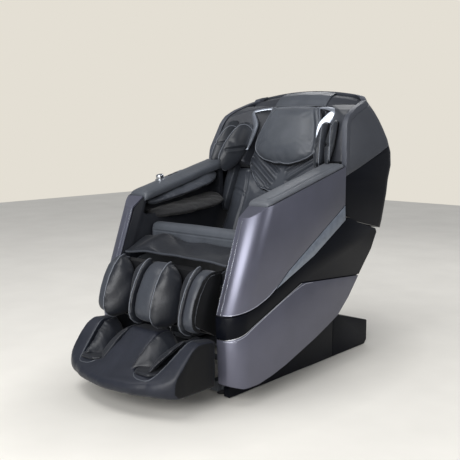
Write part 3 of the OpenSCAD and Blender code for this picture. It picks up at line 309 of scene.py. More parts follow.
def copyOf(name, nodeName):  # merged copy of a CAD node, free to be reshaped
    piece = bpy.data.objects.new(name, frame["nodes"][nodeName].data.copy())
    bpy.context.scene.collection.objects.link(piece)
    piece.data.materials.clear()
    pick(piece)
    if piece.data.has_custom_normals:
        bpy.ops.mesh.customdata_custom_splitnormals_clear()
    editing(piece)
    bpy.ops.mesh.remove_doubles(threshold=0.00003)
    bpy.ops.mesh.delete_loose()
    leaveEdit()
    return piece


def leatherOf(nodeName):  # copy of a padded CAD node, as the leather over its foam
    return copyOf(nodeName + "_leather", nodeName)


def looseParts(piece, order):  # the separate shells of a piece, sorted by a rule on their centres
    editing(piece)
    bpy.ops.mesh.separate(type="LOOSE")
    leaveEdit()
    parts = list(bpy.context.selected_objects)
    return sorted(parts, key=lambda part: order(points(part).mean(0)))


def points(piece, kind="co"):  # places of the vertices in metres, or their normals
    out = np.empty(len(piece.data.vertices) * 3)
    piece.data.vertices.foreach_get(kind, out)
    return out.reshape(-1, 3)


def setPoints(piece, co):
    piece.data.vertices.foreach_set("co", np.ascontiguousarray(co, np.float64).ravel())
    piece.data.update()


def applied(piece, kind, **settings):  # adds a modifier, sets it and applies it
    pick(piece)
    modifier = piece.modifiers.new(kind.lower(), kind)
    for key, value in settings.items():
        setattr(modifier, key, value)
    bpy.ops.object.modifier_apply(modifier=modifier.name)
    return piece


def smoothShaded(piece, angle=180.0):
    pick(piece)
    if angle >= 180:
        bpy.ops.object.shade_smooth()
    else:
        bpy.ops.object.shade_smooth_by_angle(angle=math.radians(angle))
    return piece


def mirroredCopy(piece, name):  # the same piece on the other side of the chair
    pick(piece)
    bpy.ops.object.duplicate()
    other = bpy.context.object
    other.name = name
    other.data.name = name
    setPoints(other, points(other) * np.array([-1.0, 1.0, 1.0]))
    editing(other)
    bpy.ops.mesh.flip_normals()
    leaveEdit()
    return other


def softened(piece, rounds):
    return applied(piece, "SMOOTH", factor=0.5, iterations=rounds)


def remeshed(piece, voxel, rounds):
    applied(piece, "REMESH", mode="VOXEL", voxel_size=voxel, use_smooth_shade=True)
    return softened(piece, rounds)


air = {"pressure": 4.0, "quality": 4, "mass": 0.3, "stretch": 12, "bend": 0.6}


def swollen(piece, cap, held, frames=20):
    # air pressure rounds the skin; points where held(co) is true stay on what carries them
    rest = points(piece)
    pinned = held(rest)
    group = piece.vertex_groups.new(name="held")
    group.add([int(i) for i in np.nonzero(pinned)[0]], 1.0, "REPLACE")
    pick(piece)
    cloth = piece.modifiers.new("air", "CLOTH")
    cloth.settings.quality = air["quality"]
    cloth.settings.mass = air["mass"]
    cloth.settings.tension_stiffness = air["stretch"]
    cloth.settings.compression_stiffness = air["stretch"]
    cloth.settings.bending_stiffness = air["bend"]
    cloth.settings.use_pressure = True
    cloth.settings.uniform_pressure_force = air["pressure"]
    cloth.settings.vertex_group_mass = "held"
    cloth.settings.effector_weights.gravity = 0
    cloth.collision_settings.use_self_collision = False
    cloth.point_cache.frame_start = 1
    cloth.point_cache.frame_end = frames
    scene = bpy.context.scene
    for number in range(1, frames + 1):
        scene.frame_set(number)
    bpy.ops.object.modifier_apply(modifier="air")
    scene.frame_set(1)
    piece.vertex_groups.clear()
    move = points(piece) - rest
    length = np.linalg.norm(move, axis=1, keepdims=True)
    move *= np.minimum(1, cap / np.maximum(length, 1e-9))
    setPoints(piece, rest + np.nan_to_num(move))


def finer(piece):
    return applied(piece, "SUBSURF", levels=1, render_levels=1)


def stuffed(piece, look, held=None):  # evenly meshed, filled with air where it isn't held, then refined
    remeshed(piece, look["voxel"], look["rounds"])
    if held:
        swollen(piece, look["cap"], held, look.get("frames", 20))
    if "soften" in look:
        softened(piece, look["soften"])
    return finer(piece)


def distanceTo(co, line):  # distance from each point to a polyline, and how far along it the nearest place is
    line = np.asarray(line, float)
    best = np.full(len(co), 1e9)
    where = np.zeros(len(co))
    total = np.linalg.norm(np.diff(line, axis=0), axis=1).sum()
    run = 0.0
    for a, b in zip(line[:-1], line[1:]):
        edge = b - a
        length = np.linalg.norm(edge)
        if length < 1e-9:
            continue
        t = np.clip(((co - a) @ edge) / length ** 2, 0, 1)
        d = np.linalg.norm(co - (a + t[:, None] * edge), axis=1)
        closer = d < best
        best[closer] = d[closer]
        where[closer] = (run + t[closer] * length) / total
        run += length
    return best, where


def grooved(piece, line, width, depth, shoulder=0.25, fade=0.0):
    # sewn channel or crease along a line: a valley with soft shoulders, faded out at its ends
    co = points(piece)
    d, where = distanceTo(co, line)
    ends = np.ones(len(co)) if not fade else np.clip(np.minimum(where, 1 - where) / fade, 0, 1)
    valley = -depth * np.exp(-(d / width) ** 2)
    banks = shoulder * depth * np.exp(-((d - 2.2 * width) / width) ** 2)
    setPoints(piece, co + points(piece, "normal") * ((valley + banks) * ends)[:, None])


def rippled(piece, size, height, seed):
    # slow uneven swell of stuffed leather: a few sine waves in fixed random directions
    rng = np.random.default_rng(seed)
    co = points(piece)
    total = np.zeros(len(co))
    for _ in range(7):
        way = rng.normal(size=3)
        way /= np.linalg.norm(way)
        total += np.sin(co @ way * 2 * np.pi / (size * rng.uniform(0.7, 1.4)) + rng.uniform(0, 6.28))
    setPoints(piece, co + points(piece, "normal") * (total * height / 3.0)[:, None])


def surfaceOf(piece):
    mesh = piece.data
    return BVHTree.FromPolygons([v.co for v in mesh.vertices], [p.vertices for p in mesh.polygons])


def dropped(piece, line, way):  # carries each point of a line along a direction onto the piece
    tree = surfaceOf(piece)
    way = Vector(way).normalized()
    hits = [tree.ray_cast(Vector(point) - way * 0.5, way)[0] for point in line]
    return [hit for hit in hits if hit is not None]


def smoothLine(line, closed=False, rounds=2, step=0.006):  # evenly spaced, corner-cut line
    line = [Vector(p) for p in line]
    for _ in range(rounds):
        pairs = list(zip(line, line[1:] + line[:1])) if closed else list(zip(line[:-1], line[1:]))
        cut = [q for a, b in pairs for q in (a.lerp(b, 0.25), a.lerp(b, 0.75))]
        line = cut if closed else [line[0]] + cut + [line[-1]]
    if closed:
        line = line + [line[0]]
    out = [line[0]]
    for a, b in zip(line[:-1], line[1:]):
        n = max(1, int((b - a).length / step))
        out += [a.lerp(b, (i + 1) / n) for i in range(n)]
    return out[:-1] if closed else out


def tube(name, line, radius, closed=False):  # round welt along a line, made a mesh
    curve = bpy.data.curves.new(name, "CURVE")
    curve.dimensions = "3D"
    curve.bevel_depth = radius
    curve.bevel_resolution = 2
    curve.use_fill_caps = True
    spline = curve.splines.new("POLY")
    spline.points.add(len(line) - 1)
    for spot, p in zip(spline.points, line):
        spot.co = (p[0], p[1], p[2], 1)
    spline.use_cyclic_u = closed
    piece = bpy.data.objects.new(name, curve)
    bpy.context.scene.collection.objects.link(piece)
    pick(piece)
    bpy.ops.object.convert(target="MESH")
    return smoothShaded(bpy.context.object)


def sideFaced(piece, materialName, limit, beyond):  # other finish on faces that look outwards, past a width
    piece.data.materials.append(materials[materialName])
    for polygon in piece.data.polygons:
        outwards = polygon.normal.x * math.copysign(1, polygon.center.x)
        if outwards > limit and abs(polygon.center.x) > beyond:
            polygon.material_index = 1


def weltRound(name, piece, centre, normal, level, count, radius):
    # piping round a piece where a plane cuts it, found from outside towards the centre
    proud = 0.0006  # of the leather
    tree = surfaceOf(piece)
    normal = Vector(normal).normalized()
    side = normal.orthogonal().normalized()
    up = normal.cross(side)
    middle = Vector(centre) + normal * level
    line = []
    for i in range(count):
        a = 2 * math.pi * i / count
        way = side * math.cos(a) + up * math.sin(a)
        hit, _, _, _ = tree.ray_cast(middle + way * 0.6, -way)
        if hit is not None:
            line.append(hit + way * proud)
    return tube(name, smoothLine(line, closed=True, rounds=1), radius, closed=True)


def dressed(piece, body, materialName, slot, fill=None, nodes=()):
    # gives a finished piece its material and body, and hides the CAD nodes that it stands for
    piece.data.materials.clear()
    piece.data.materials.append(materials[materialName])
    piece.data.name = piece.name
    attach(piece, body)
    if nodes:
        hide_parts(*nodes)


def upholstered(piece, look, seed, body, materialName, slot, nodes=()):  # ripples a pad and dresses it
    rippled(piece, *look["ripple"], seed)
    smoothShaded(piece)
    dressed(piece, body, materialName, slot, look["fill"], nodes)


rigidPieces = {  # material, and the radius to which its edges are moulded, cut or bent
    "arm_panel_left": ("shell_paint", 0.0022), "arm_panel_right": ("shell_paint", 0.0022),
    "lower_panel_left": ("shell_paint", 0.0022), "lower_panel_right": ("shell_paint", 0.0022),
    "side_bands": ("black_gloss", 0.002), "blade_trims": ("silver_trim", 0.0012),
    "edge_trims": ("chrome_trim", 0.0006),
    "side_casing_left": ("casing_plastic", 0.002), "side_casing_right": ("casing_plastic", 0.002),
    "base_covers": ("black_plastic", 0.0025), "rear_cover": ("black_plastic", 0.0025),
    "control_pod": ("chrome_trim", 0.0008), "control_knob": ("chrome_trim", 0.0008),
    "button_up": ("button_rubber", 0.0007), "button_down": ("button_rubber", 0.0007),
    "calf_shell": ("leather_black", 0.002), "power_supply": ("supply_case", 0.002),
}


def roundedPiece(nodeName, bevel):
    piece = copyOf(nodeName + "_shell", nodeName)
    editing(piece)
    bpy.ops.mesh.dissolve_limited(angle_limit=math.radians(0.4))
    leaveEdit()
    applied(piece, "BEVEL", width=bevel, segments=2, limit_method="ANGLE", angle_limit=math.radians(32),
            use_clamp_overlap=True, harden_normals=False)
    smoothShaded(piece, 38)
    return piece


bodyOf = {node: body for body, nodes in frame["record"]["behaviour"]["bodies"].items() for node in nodes}
slotOf = {part["node"]: part["material_slot"] for part in frame["record"]["subparts"]}

for nodeName, (materialName, bevel) in rigidPieces.items():
    piece = roundedPiece(nodeName, bevel)
    dressed(piece, bodyOf[nodeName], materialName, slotOf[nodeName], nodes=[nodeName])
print("rigid pieces rounded:", len(rigidPieces))

keptNodes = {  # frames, drives, wheels and rollers stay as built and get their finish
    "frame_steel": ["base_frame", "seat_frame", "back_frame", "massage_carriage"],
    "rod_steel": ["recline_rod", "legrest_rod", "knead_arm_left", "knead_arm_right", "foot_guide_rods"],
    "drive_housing": ["air_pump", "recline_actuator", "legrest_actuator"],
    "roller_nylon": ["massage_roller_upper_left", "massage_roller_lower_left", "massage_roller_upper_right",
                     "massage_roller_lower_right", "sole_roller"],
    "foot_rubber": ["floor_feet", "transport_wheel_left", "transport_wheel_right"],
    "nylon": ["glide_shoes"],
    "black_plastic": ["power_inlet"],
    "black_gloss": ["power_switch"],
}
for materialName, nodeNames in keptNodes.items():
    for nodeName in nodeNames:
        mesh = frame["nodes"][nodeName].data
        mesh.materials.clear()
        mesh.materials.append(materials[materialName])
        mesh.polygons.foreach_set("material_index", [0] * len(mesh.polygons))
print("frames and drives finished")

hood = {"rimWidth": 24, "groove": 0.9, "rimRound": 0.006, "panelRound": 0.002}
hoodFront = [(296, 640), (296, 905), (301, 950), (320, 1000), (331, 1030), (342, 1060), (356, 1080),
             (375, 1099), (430, 1127), (512, 1155), (560, 1172), (568, 1260)]  # y and height, mm


def shiftedLine(line, distance):  # open line in the side view moved to its right
    line = np.array(line, float)
    ways = np.diff(line, axis=0)
    ways /= np.linalg.norm(ways, axis=1, keepdims=True)
    rights = np.stack([ways[:, 1], -ways[:, 0]], axis=1)
    before = np.vstack([rights[:1], rights])
    after = np.vstack([rights, rights[-1:]])
    return line + distance * (before + after) / (1 + (before * after).sum(1, keepdims=True))


def prismOf(name, corners, way):  # closed outline of corners in the room, carried along a way
    piece = placed(name, bpy.ops.mesh.primitive_circle_add, vertices=len(corners), fill_type="NGON")
    setPoints(piece, np.array(corners))
    editing(piece)
    bpy.ops.mesh.extrude_region_move(TRANSFORM_OT_translate={"value": way})
    bpy.ops.mesh.select_all(action="SELECT")
    bpy.ops.mesh.normals_make_consistent(inside=False)
    leaveEdit()
    return piece


def sidePrism(name, outline, halfWidth, middle=0.0):  # outline of the side view, in mm, carried across
    piece = prismOf(name, [(-halfWidth, y / 1000, z / 1000) for y, z in outline], (2 * halfWidth, 0, 0))
    setPoints(piece, points(piece) + np.array([middle, 0, 0]))
    return piece


def hoodPiece(name, nodeName, materialName, bevel, segments, replaced, cut=None):  # cut: how, and how far in
    piece = copyOf(name, nodeName)
    editing(piece)
    bpy.ops.mesh.dissolve_limited(angle_limit=math.radians(0.3))
    leaveEdit()
    if cut:
        operation, distance = cut
        outline = [*shiftedLine(hoodFront, distance), (900, 1300), (900, 640)]  # closed well behind the hood
        cutter = sidePrism("hood_cutter", outline, 0.5)
        applied(piece, "BOOLEAN", operation=operation, object=cutter, solver="EXACT")
        bpy.data.objects.remove(cutter)
    applied(piece, "BEVEL", width=bevel, segments=segments, limit_method="ANGLE",
            angle_limit=math.radians(38))
    smoothShaded(piece, 34)
    dressed(piece, "backrest", materialName, slotOf[nodeName], None, [nodeName] if replaced else ())


hoodPiece("upper_back_cover_panel", "upper_back_cover", "hood_paint", hood["panelRound"], 2, True,
          ("INTERSECT", hood["rimWidth"] + hood["groove"]))
hoodPiece("upper_back_cover_rim", "upper_back_cover", "rim_paint", hood["rimRound"], 3, False,
          ("DIFFERENCE", hood["rimWidth"]))
hoodPiece("lower_back_cover_shell", "lower_back_cover", "black_gloss", hood["panelRound"], 2, True)
print("hood shells made")

armPad = {"voxel": 0.006, "rounds": 5, "cap": 0.005, "fill": 0.75, "ripple": (0.16, 0.0008),
          "top": 0.754, "front": -0.236, "rise": 0.25,  # held up to this height at this y, rising rearwards
          "seam": (0.0035, 0.0022)}  # here and below: half width and depth of a sewn seam
armSeam = [(0.300, -0.212), (0.360, -0.214), (0.3785, -0.195), (0.3785, 0.0), (0.3785, 0.286)]  # from above


def fromAbove(piece, line):  # line of the plan laid on the piece
    return dropped(piece, smoothLine([(x, y, 1.2) for x, y in line]), (0, 0, -1))


pad = stuffed(leatherOf("arm_pad_left"), armPad,
              lambda co: co[:, 2] < armPad["top"] + armPad["rise"] * (co[:, 1] - armPad["front"]))
grooved(pad, fromAbove(pad, armSeam), *armPad["seam"])
rippled(pad, *armPad["ripple"], 11)
for side, piece in (("left", pad), ("right", mirroredCopy(pad, "arm_pad_right_leather"))):
    smoothShaded(piece)
    # the near (left) pad gets a lighter leather than its mirror image: painted light, both pads being the
    # same leather
    dressed(piece, "cradle", "leather_arm" if side == "left" else "leather_pale", "leather", armPad["fill"],
            ["arm_pad_" + side])
print("arm pads made")

airbag = {"voxel": 0.005, "rounds": 3, "cap": 0.006, "frames": 14, "fill": 0.5, "ripple": (0.07, 0.0018),
          "front": -0.2, "length": 0.39, "wall": 0.370, "hold": 0.364,
          "frontTall": 0.75, "frontProud": 0.45}  # share of the growth that the front end gets
flapLooks = {  # times prouder, taller and longer; slope and height of its middle, as built and as wanted
    "upper": {"proud": 2.7, "tall": 1.2, "longer": 1.12, "flare": 0.25,
              "built": (0.25, 0.7505), "wanted": (0.25, 0.741), "finish": "leather"},
    "lower": {"proud": 2.5, "tall": 1.75, "longer": 1.17, "flare": 0.3,
              "built": (0.07, 0.68955), "wanted": (0.13, 0.682), "finish": "airbag_fabric"},
}
flaps = looseParts(remeshed(copyOf("forearm_airbag", "forearm_airbags"), airbag["voxel"], airbag["rounds"]),
                   lambda c: (c[0] > 0, c[2]))
flapPlaces = [(-1, "right", "lower"), (-1, "right", "upper"), (1, "left", "lower"), (1, "left", "upper")]
for number, (piece, (sign, side, level)) in enumerate(zip(flaps, flapPlaces)):
    piece.name = "forearm_airbag_%s_%s" % (side, level)
    look = flapLooks[level]
    co = points(piece)
    along = np.clip((co[:, 1] - airbag["front"]) / airbag["length"], 0, 1)  # 0 in front, 1 at its rear end
    taller = look["tall"] * (airbag["frontTall"] + look["flare"] * along)
    off = (co[:, 2] - np.polyval(look["built"], co[:, 1])) * taller
    co[:, 1] = airbag["front"] + (co[:, 1] - airbag["front"]) * look["longer"]
    co[:, 2] = np.polyval(look["wanted"], co[:, 1]) + off
    prouder = 1 + (look["proud"] - 1) * (airbag["frontProud"] + (1 - airbag["frontProud"]) * along)
    co[:, 0] = sign * (airbag["wall"] - (airbag["wall"] - np.abs(co[:, 0])) * prouder)
    setPoints(piece, co)
    swollen(piece, airbag["cap"], lambda co: np.abs(co[:, 0]) > airbag["hold"], airbag["frames"])
    rippled(piece, *airbag["ripple"], 5 + number)
    finer(piece)
    smoothShaded(piece)
    dressed(piece, "cradle", look["finish"], "airbag_fabric", airbag["fill"],
            ["forearm_airbags"] if number == 0 else ())
print("forearm airbags made")

seat = {"voxel": 0.007, "rounds": 4, "cap": 0.012, "fill": 0.8, "ripple": (0.12, 0.0015),
        "top": 0.545, "front": -0.188, "rise": -0.266, "seamX": 0.165, "seam": (0.007, 0.005)}
cushion = stuffed(leatherOf("seat_cushion"), seat,
                  lambda co: co[:, 2] < seat["top"] + seat["rise"] * (co[:, 1] - seat["front"]))
for sign in (-1, 1):
    seam = [(sign * seat["seamX"], y) for y in (-0.14, 0.0, 0.17)]
    grooved(cushion, fromAbove(cushion, seam), *seat["seam"])
upholstered(cushion, seat, 3, "cradle", "leather_dark", "leather_dark", ["seat_cushion"])

roll = {"voxel": 0.005, "rounds": 5, "cap": 0.004, "fill": 0.8, "ripple": (0.15, 0.0008), "hold": 0.595,
        "seamX": 0.285, "seamZ": 0.596, "seam": (0.003, 0.0018)}
seatRoll = stuffed(leatherOf("seat_roll"), roll, lambda co: co[:, 2] < roll["hold"])
seam = [(x, -0.30, roll["seamZ"]) for x in np.linspace(-roll["seamX"], roll["seamX"], 80)]
grooved(seatRoll, dropped(seatRoll, seam, (0, 1, 0)), *roll["seam"])
upholstered(seatRoll, roll, 8, "cradle", "leather_pale", "leather", ["seat_roll"])

drape = {"halfWidth": 0.294, "across": 92, "along": 40, "thickness": 0.0024, "hemRadius": 0.0050,
         "fold": 0.042, "foldAt": -0.62, "hang": 0.007, "sag": 0.016, "waves": (0.004, 0.003)}
drapeSide = [(0.0, -0.1915, 0.548), (0.10, -0.197, 0.572), (0.28, -0.226, 0.570), (0.55, -0.275, 0.557),
             (0.80, -0.319, 0.543), (0.93, -0.344, 0.534), (1.0, -0.3475, 0.529)]  # place, y and height


def drapeProfile(s, u):  # u from 0 at the roll to 1 over the leg rest; s from -1 to 1 across the seat
    places, depths, heights = zip(*drapeSide)
    span = math.sin(math.pi * min(1, max(0, u)))
    grown = (4 * u * (1 - u)) ** 0.8 + 0.12 * u  # highest halfway between the roll and the hem
    fold = drape["fold"] * math.exp(-((s - drape["foldAt"] - 0.08 * u) * 4.2) ** 2) * grown
    hang = drape["hang"] * math.cos(2.6 * (s - 0.15)) * u  # the hem sags towards the ends
    broad, narrow = drape["waves"]
    waves = broad * math.sin(5.2 * s + 4.0 * u) + narrow * math.sin(9.5 * s - 6.0 * u + 1.0)
    sag = -drape["sag"] * span * (1 - s * s)
    return Vector((drape["halfWidth"] * s * (1 - 0.02 * u), np.interp(u, places, depths) - 0.15 * fold,
                   np.interp(u, places, heights) + fold + hang + waves * (0.4 + 0.6 * span) + sag))


drapeSheet = placed("seat_drape_leather", bpy.ops.mesh.primitive_grid_add, x_subdivisions=drape["across"],
                    y_subdivisions=drape["along"], size=1)
setPoints(drapeSheet, np.array([drapeProfile(2 * x, y + 0.5) for x, y, _ in points(drapeSheet)]))
softened(drapeSheet, 3)
applied(drapeSheet, "SOLIDIFY", thickness=drape["thickness"], offset=0)
finer(drapeSheet)
smoothShaded(drapeSheet)
drapeSheet.data.materials.append(materials["leather_dark"])
hem = tube("seat_drape_hem", [drapeProfile(s, 1.0) for s in np.linspace(-1, 1, 60)], drape["hemRadius"])
# the hem is the drape's own leather rolled over, given a lighter leather than the sheet: painted highlight
hem.data.materials.append(materials["leather"])
for piece in (drapeSheet, hem):
    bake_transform(piece)
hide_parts("seat_drape")

apron = {"halfWidth": 0.268, "voxel": 0.004, "rounds": 4, "ripple": (0.08, 0.0010), "fill": 0.3}
apronSide = [(160, 474), (182, 467), (206, 454), (230, 462), (246, 480), (250, 470), (236, 450), (206, 440),
             (180, 452), (160, 460)]  # quilted leather between the seat and the back, y and height in mm
seatApron = stuffed(sidePrism("seat_apron_leather", apronSide, apron["halfWidth"]), apron)
rippled(seatApron, *apron["ripple"], 15)
smoothShaded(seatApron)
seatApron.data.materials.append(materials["leather_dark"])
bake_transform(seatApron)
print("apron made")

backPivot = (0, 0.225, 0.440)
backLean = math.radians(24)
backForward = Vector((0, -math.cos(backLean), math.sin(backLean)))  # out of the back pad


def backPoint(x, y, z):  # point of the back's own frame, in mm, to the room
    return Vector((x / 1000, backPivot[1] + z / 1000 * math.sin(backLean) + y / 1000 * math.cos(backLean),
                   backPivot[2] + z / 1000 * math.cos(backLean) - y / 1000 * math.sin(backLean)))


def intoBack(co):  # room to the back's own frame, metres
    away = co - np.array(backPivot)
    return np.stack([away[:, 0], away[:, 1] * math.cos(backLean) - away[:, 2] * math.sin(backLean),
                     away[:, 1] * math.sin(backLean) + away[:, 2] * math.cos(backLean)], axis=1)


def behind(level):  # true of points behind a level of the back's frame, in mm
    return lambda co: intoBack(co)[:, 1] > level / 1000


def upBack(piece, sign, line, smooth=True):
    # line of x, to one side, and height up the back, in mm, laid on a pad from well in front of it
    held = [backPoint(sign * x, -200, z) for x, z in line]
    return dropped(piece, smoothLine(held) if smooth else held, -backForward)


back = {"voxel": 0.007, "rounds": 3, "cap": 0.008, "fill": 0.7, "ripple": (0.13, 0.0014), "hold": 6,
        "seamWidth": 0.006, "seamDepth": 0.006, "branchDepth": 0.0042}
backSeam = [(182, 40), (190, 150), (186, 260), (190, 360), (214, 420)]
backBranch = [(188, 300), (236, 322), (286, 330)]  # towards the side, below the shoulders
backPad = stuffed(leatherOf("back_pad"), back, behind(back["hold"]))
for sign in (-1, 1):
    grooved(backPad, upBack(backPad, sign, backSeam), back["seamWidth"], back["seamDepth"])
    grooved(backPad, upBack(backPad, sign, backBranch), back["seamWidth"], back["branchDepth"])
upholstered(backPad, back, 21, "backrest", "leather", "leather", ["back_pad"])


def bothSides(piece, *finish):  # dresses a left piece and its mirror image
    dressed(mirroredCopy(piece, piece.name.replace("left", "right")), *finish)
    dressed(piece, *finish)


bolster = {"inner": 0.274, "outer": 0.321, "voxel": 0.005, "rounds": 12, "fill": 0.7}
bolsterSide = [(-44, 222), (-52, 250), (-52, 470), (-40, 486), (-10, 486), (-10, 216), (-30, 214)]
bolsterRoom = [tuple(v * 1000 for v in backPoint(0, y, z)[1:]) for y, z in bolsterSide]
sideRoll = stuffed(sidePrism("back_side_roll_left", bolsterRoom, (bolster["outer"] - bolster["inner"]) / 2,
                             (bolster["inner"] + bolster["outer"]) / 2), bolster)
smoothShaded(sideRoll)
bothSides(sideRoll, "backrest", "leather", "leather", bolster["fill"])

neck = {"voxel": 0.005, "rounds": 2, "fill": 0.65, "rib": 0.0065, "ribDepth": 0.009, "pipe": 0.0024,
        "pipeFrom": (0, 15, 500), "pipeLevel": 0.030,
        "front": -30, "crown": 9, "middle": 535, "halfHeight": 210}  # mm, in the back's frame
neckHalf = [(325, 60), (334, 100), (353, 130), (390, 168), (428, 203), (467, 222), (515, 216), (560, 204),
            (640, 180), (745, 146)]  # half width of the ribbed pad at heights up the back, mm
neckRibs = [(206, 548, 16, 416), (219, 505, 30, 370), (212, 458, 52, 345), (186, 418, 88, 346)]
neckPad = remeshed(leatherOf("neck_pad"), neck["voxel"], neck["rounds"])
co = points(neckPad)
inBack = intoBack(co) * 1000
half = np.interp(inBack[:, 2], *zip(*neckHalf))
u = np.clip(np.abs(inBack[:, 0]) / half, 0, 1)
v = np.clip(np.abs(inBack[:, 2] - neck["middle"]) / neck["halfHeight"], 0, 1)
wanted = neck["front"] + neck["crown"] * (u ** 4 + v ** 6)  # even crown in place of the coarse ribs
front = inBack[:, 1] < -8  # the padded face, not the backing
setPoints(neckPad, co + np.outer(np.where(front, (inBack[:, 1] - wanted) / 1000, 0), np.array(backForward)))
finer(neckPad)
for sign in (-1, 1):
    for x0, z0, x1, z1 in neckRibs:
        rib = [(x0 + (x1 - x0) * t, z0 + (z1 - z0) * t) for t in np.linspace(0, 1, 40)]
        grooved(neckPad, upBack(neckPad, sign, rib, smooth=False), neck["rib"], neck["ribDepth"], 0.45, 0.06)
smoothShaded(neckPad)
dressed(neckPad, "backrest", "leather", "leather", neck["fill"], ["neck_pad"])
neckWelt = weltRound("neck_pad_piping", neckPad, backPoint(*neck["pipeFrom"]), backForward,
                     neck["pipeLevel"], 200, neck["pipe"])
dressed(neckWelt, "backrest", "piping", "leather")

pillow = {"voxel": 0.006, "rounds": 5, "cap": 0.008, "soften": 9, "fill": 0.85, "ripple": (0.16, 0.0010),
          "hold": -38, "seam": (0.005, 0.0028), "middle": (0, -33, 598)}
pillowSeam = [(112, 742), (134, 690), (156, 630), (170, 560), (164, 505)]
pillowRims = {"head_pillow_piping": ("piping", 0.024, 0.0024),
              "head_pillow_zip": ("piping_dark", 0.0165, 0.0034)}  # finish, level and radius; the near-black welt behind the light piping is painted shadow
headPillow = stuffed(leatherOf("head_pillow"), pillow, behind(pillow["hold"]))
for sign in (-1, 1):
    grooved(headPillow, upBack(headPillow, sign, pillowSeam), *pillow["seam"], shoulder=0.6, fade=0.15)
upholstered(headPillow, pillow, 31, "pillow", "leather_pale", "leather", ["head_pillow"])
for name, (finish, level, radius) in pillowRims.items():
    welt = weltRound(name, headPillow, backPoint(*pillow["middle"]), backForward, level, 220, radius)
    dressed(welt, "pillow", finish, "leather")

flap = {"voxel": 0.0032, "rounds": 4, "fill": 0.4, "ripple": (0.09, 0.0008)}
pillowFlap = stuffed(leatherOf("pillow_flap"), flap)
upholstered(pillowFlap, flap, 41, "backrest", "leather_pale", "leather", ["pillow_flap"])
print("back, neck pad and pillow made")

liner = {"voxel": 0.005, "rounds": 4, "fill": 0.35, "ripple": (0.11, 0.0010)}
leaves = {"voxel": 0.004, "rounds": 3, "cap": 0.008, "frames": 14, "soften": 4, "fill": 0.6, "pipe": 0.0022,
          "ripple": (0.07, 0.0010), "crease": (0.006, 0.005), "turn": 65}
leafLooks = {  # lean back and tilt inwards in degrees; how much fuller along x, y and z, and how far forwards
    "inner": {"lean": 30, "tilt": 15, "fuller": (1.0, 1.4, 1.22), "forwards": -0.012},
    "outer": {"lean": 25, "tilt": 14, "fuller": (1.0, 1.5, 1.36), "forwards": -0.014},
}
parts = looseParts(copyOf("shoulder_part", "shoulder_airbags_left"), lambda c: c[0])
parts.sort(key=lambda part: -np.ptp(points(part)[:, 0]))
headliner, *leafParts = parts
leafParts.sort(key=lambda part: points(part)[:, 0].mean())
headliner.name = "headliner_left"
stuffed(headliner, liner)
rippled(headliner, *liner["ripple"], 81)
smoothShaded(headliner)
for side, piece in (("left", headliner), ("right", mirroredCopy(headliner, "headliner_right"))):
    dressed(piece, "backrest", "liner_leather", "leather", liner["fill"], ["shoulder_airbags_" + side])
for number, (leaf, (kind, look)) in enumerate(zip(leafParts, leafLooks.items())):
    leaf.name = "shoulder_airbag_left_" + kind
    facing = (Matrix.Rotation(math.radians(-look["lean"]), 3, "X")
              @ Matrix.Rotation(math.radians(-look["tilt"]), 3, "Y")
              @ Matrix.Rotation(math.radians(-leaves["turn"]), 3, "Z")) @ Vector((0, -1, 0))
    centre = points(leaf).mean(0)
    grown = (points(leaf) - centre) * np.array(look["fuller"])
    setPoints(leaf, centre + grown + np.array([0, look["forwards"], 0]))
    ahead = np.array(facing)
    stuffed(leaf, leaves, lambda co: co @ ahead < np.percentile(co @ ahead, 4) + 0.002)  # held at its back
    middle = Vector(points(leaf).mean(0))
    side = facing.cross(Vector((0, 0, 1))).normalized()
    crease = [middle + facing * 0.2 + side * t + Vector((0, 0, -0.012 + 0.08 * t))
              for t in np.linspace(-0.06, 0.06, 30)]
    grooved(leaf, dropped(leaf, crease, -facing), *leaves["crease"])
    welt = weltRound("shoulder_piping_left_" + kind, leaf, middle, facing, 0.002, 140, leaves["pipe"])
    rippled(leaf, *leaves["ripple"], 91 + number)
    smoothShaded(leaf)
    bothSides(leaf, "backrest", "leather_wing", "leather", leaves["fill"])
    bothSides(welt, "backrest", "piping", "leather")

speaker = {"depth": 0.010, "turn": 28, "crown": 3.5, "edge": 0.0012, "across": 8, "along": 60}
speakerStations = [(124, -49, 738, 9), (182, -62, 728, 10), (228, -74, 714, 13), (238, -78, 700, 15),
                   (216, -80, 668, 20), (198, -81, 636, 24), (198, -82, 600, 23), (202, -82, 562, 18),
                   (204, -82, 530, 12), (207, -82, 505, 4)]  # middle in the back's frame and half width, mm
reach = np.concatenate([[0], np.cumsum([math.dist(p[:3], q[:3])
                                        for p, q in zip(speakerStations[:-1], speakerStations[1:])])])
turned = math.radians(speaker["turn"])  # the plate's outer edge lies deeper than its inner edge


def alongPlate(at, number):  # a value of the stations at a place along the plate, mm
    return np.interp(min(max(at, 0), reach[-1]), reach, [p[number] for p in speakerStations])


def platePoint(across, along):  # point of the crescent plate, each from -0.5 to 0.5
    at = (along + 0.5) * reach[-1]
    x, y, z, half = (alongPlate(at, number) for number in range(4))
    wayX, wayZ = (alongPlate(at + 6, number) - alongPlate(at - 6, number) for number in (0, 2))
    size = math.hypot(wayX, wayZ)
    out = 2 * across * half * math.cos(turned)
    depth = 2 * across * half * math.sin(turned) - speaker["crown"] * (1 - (2 * across) ** 2)
    return backPoint(x - out * wayZ / size, y + depth, z + out * wayX / size)


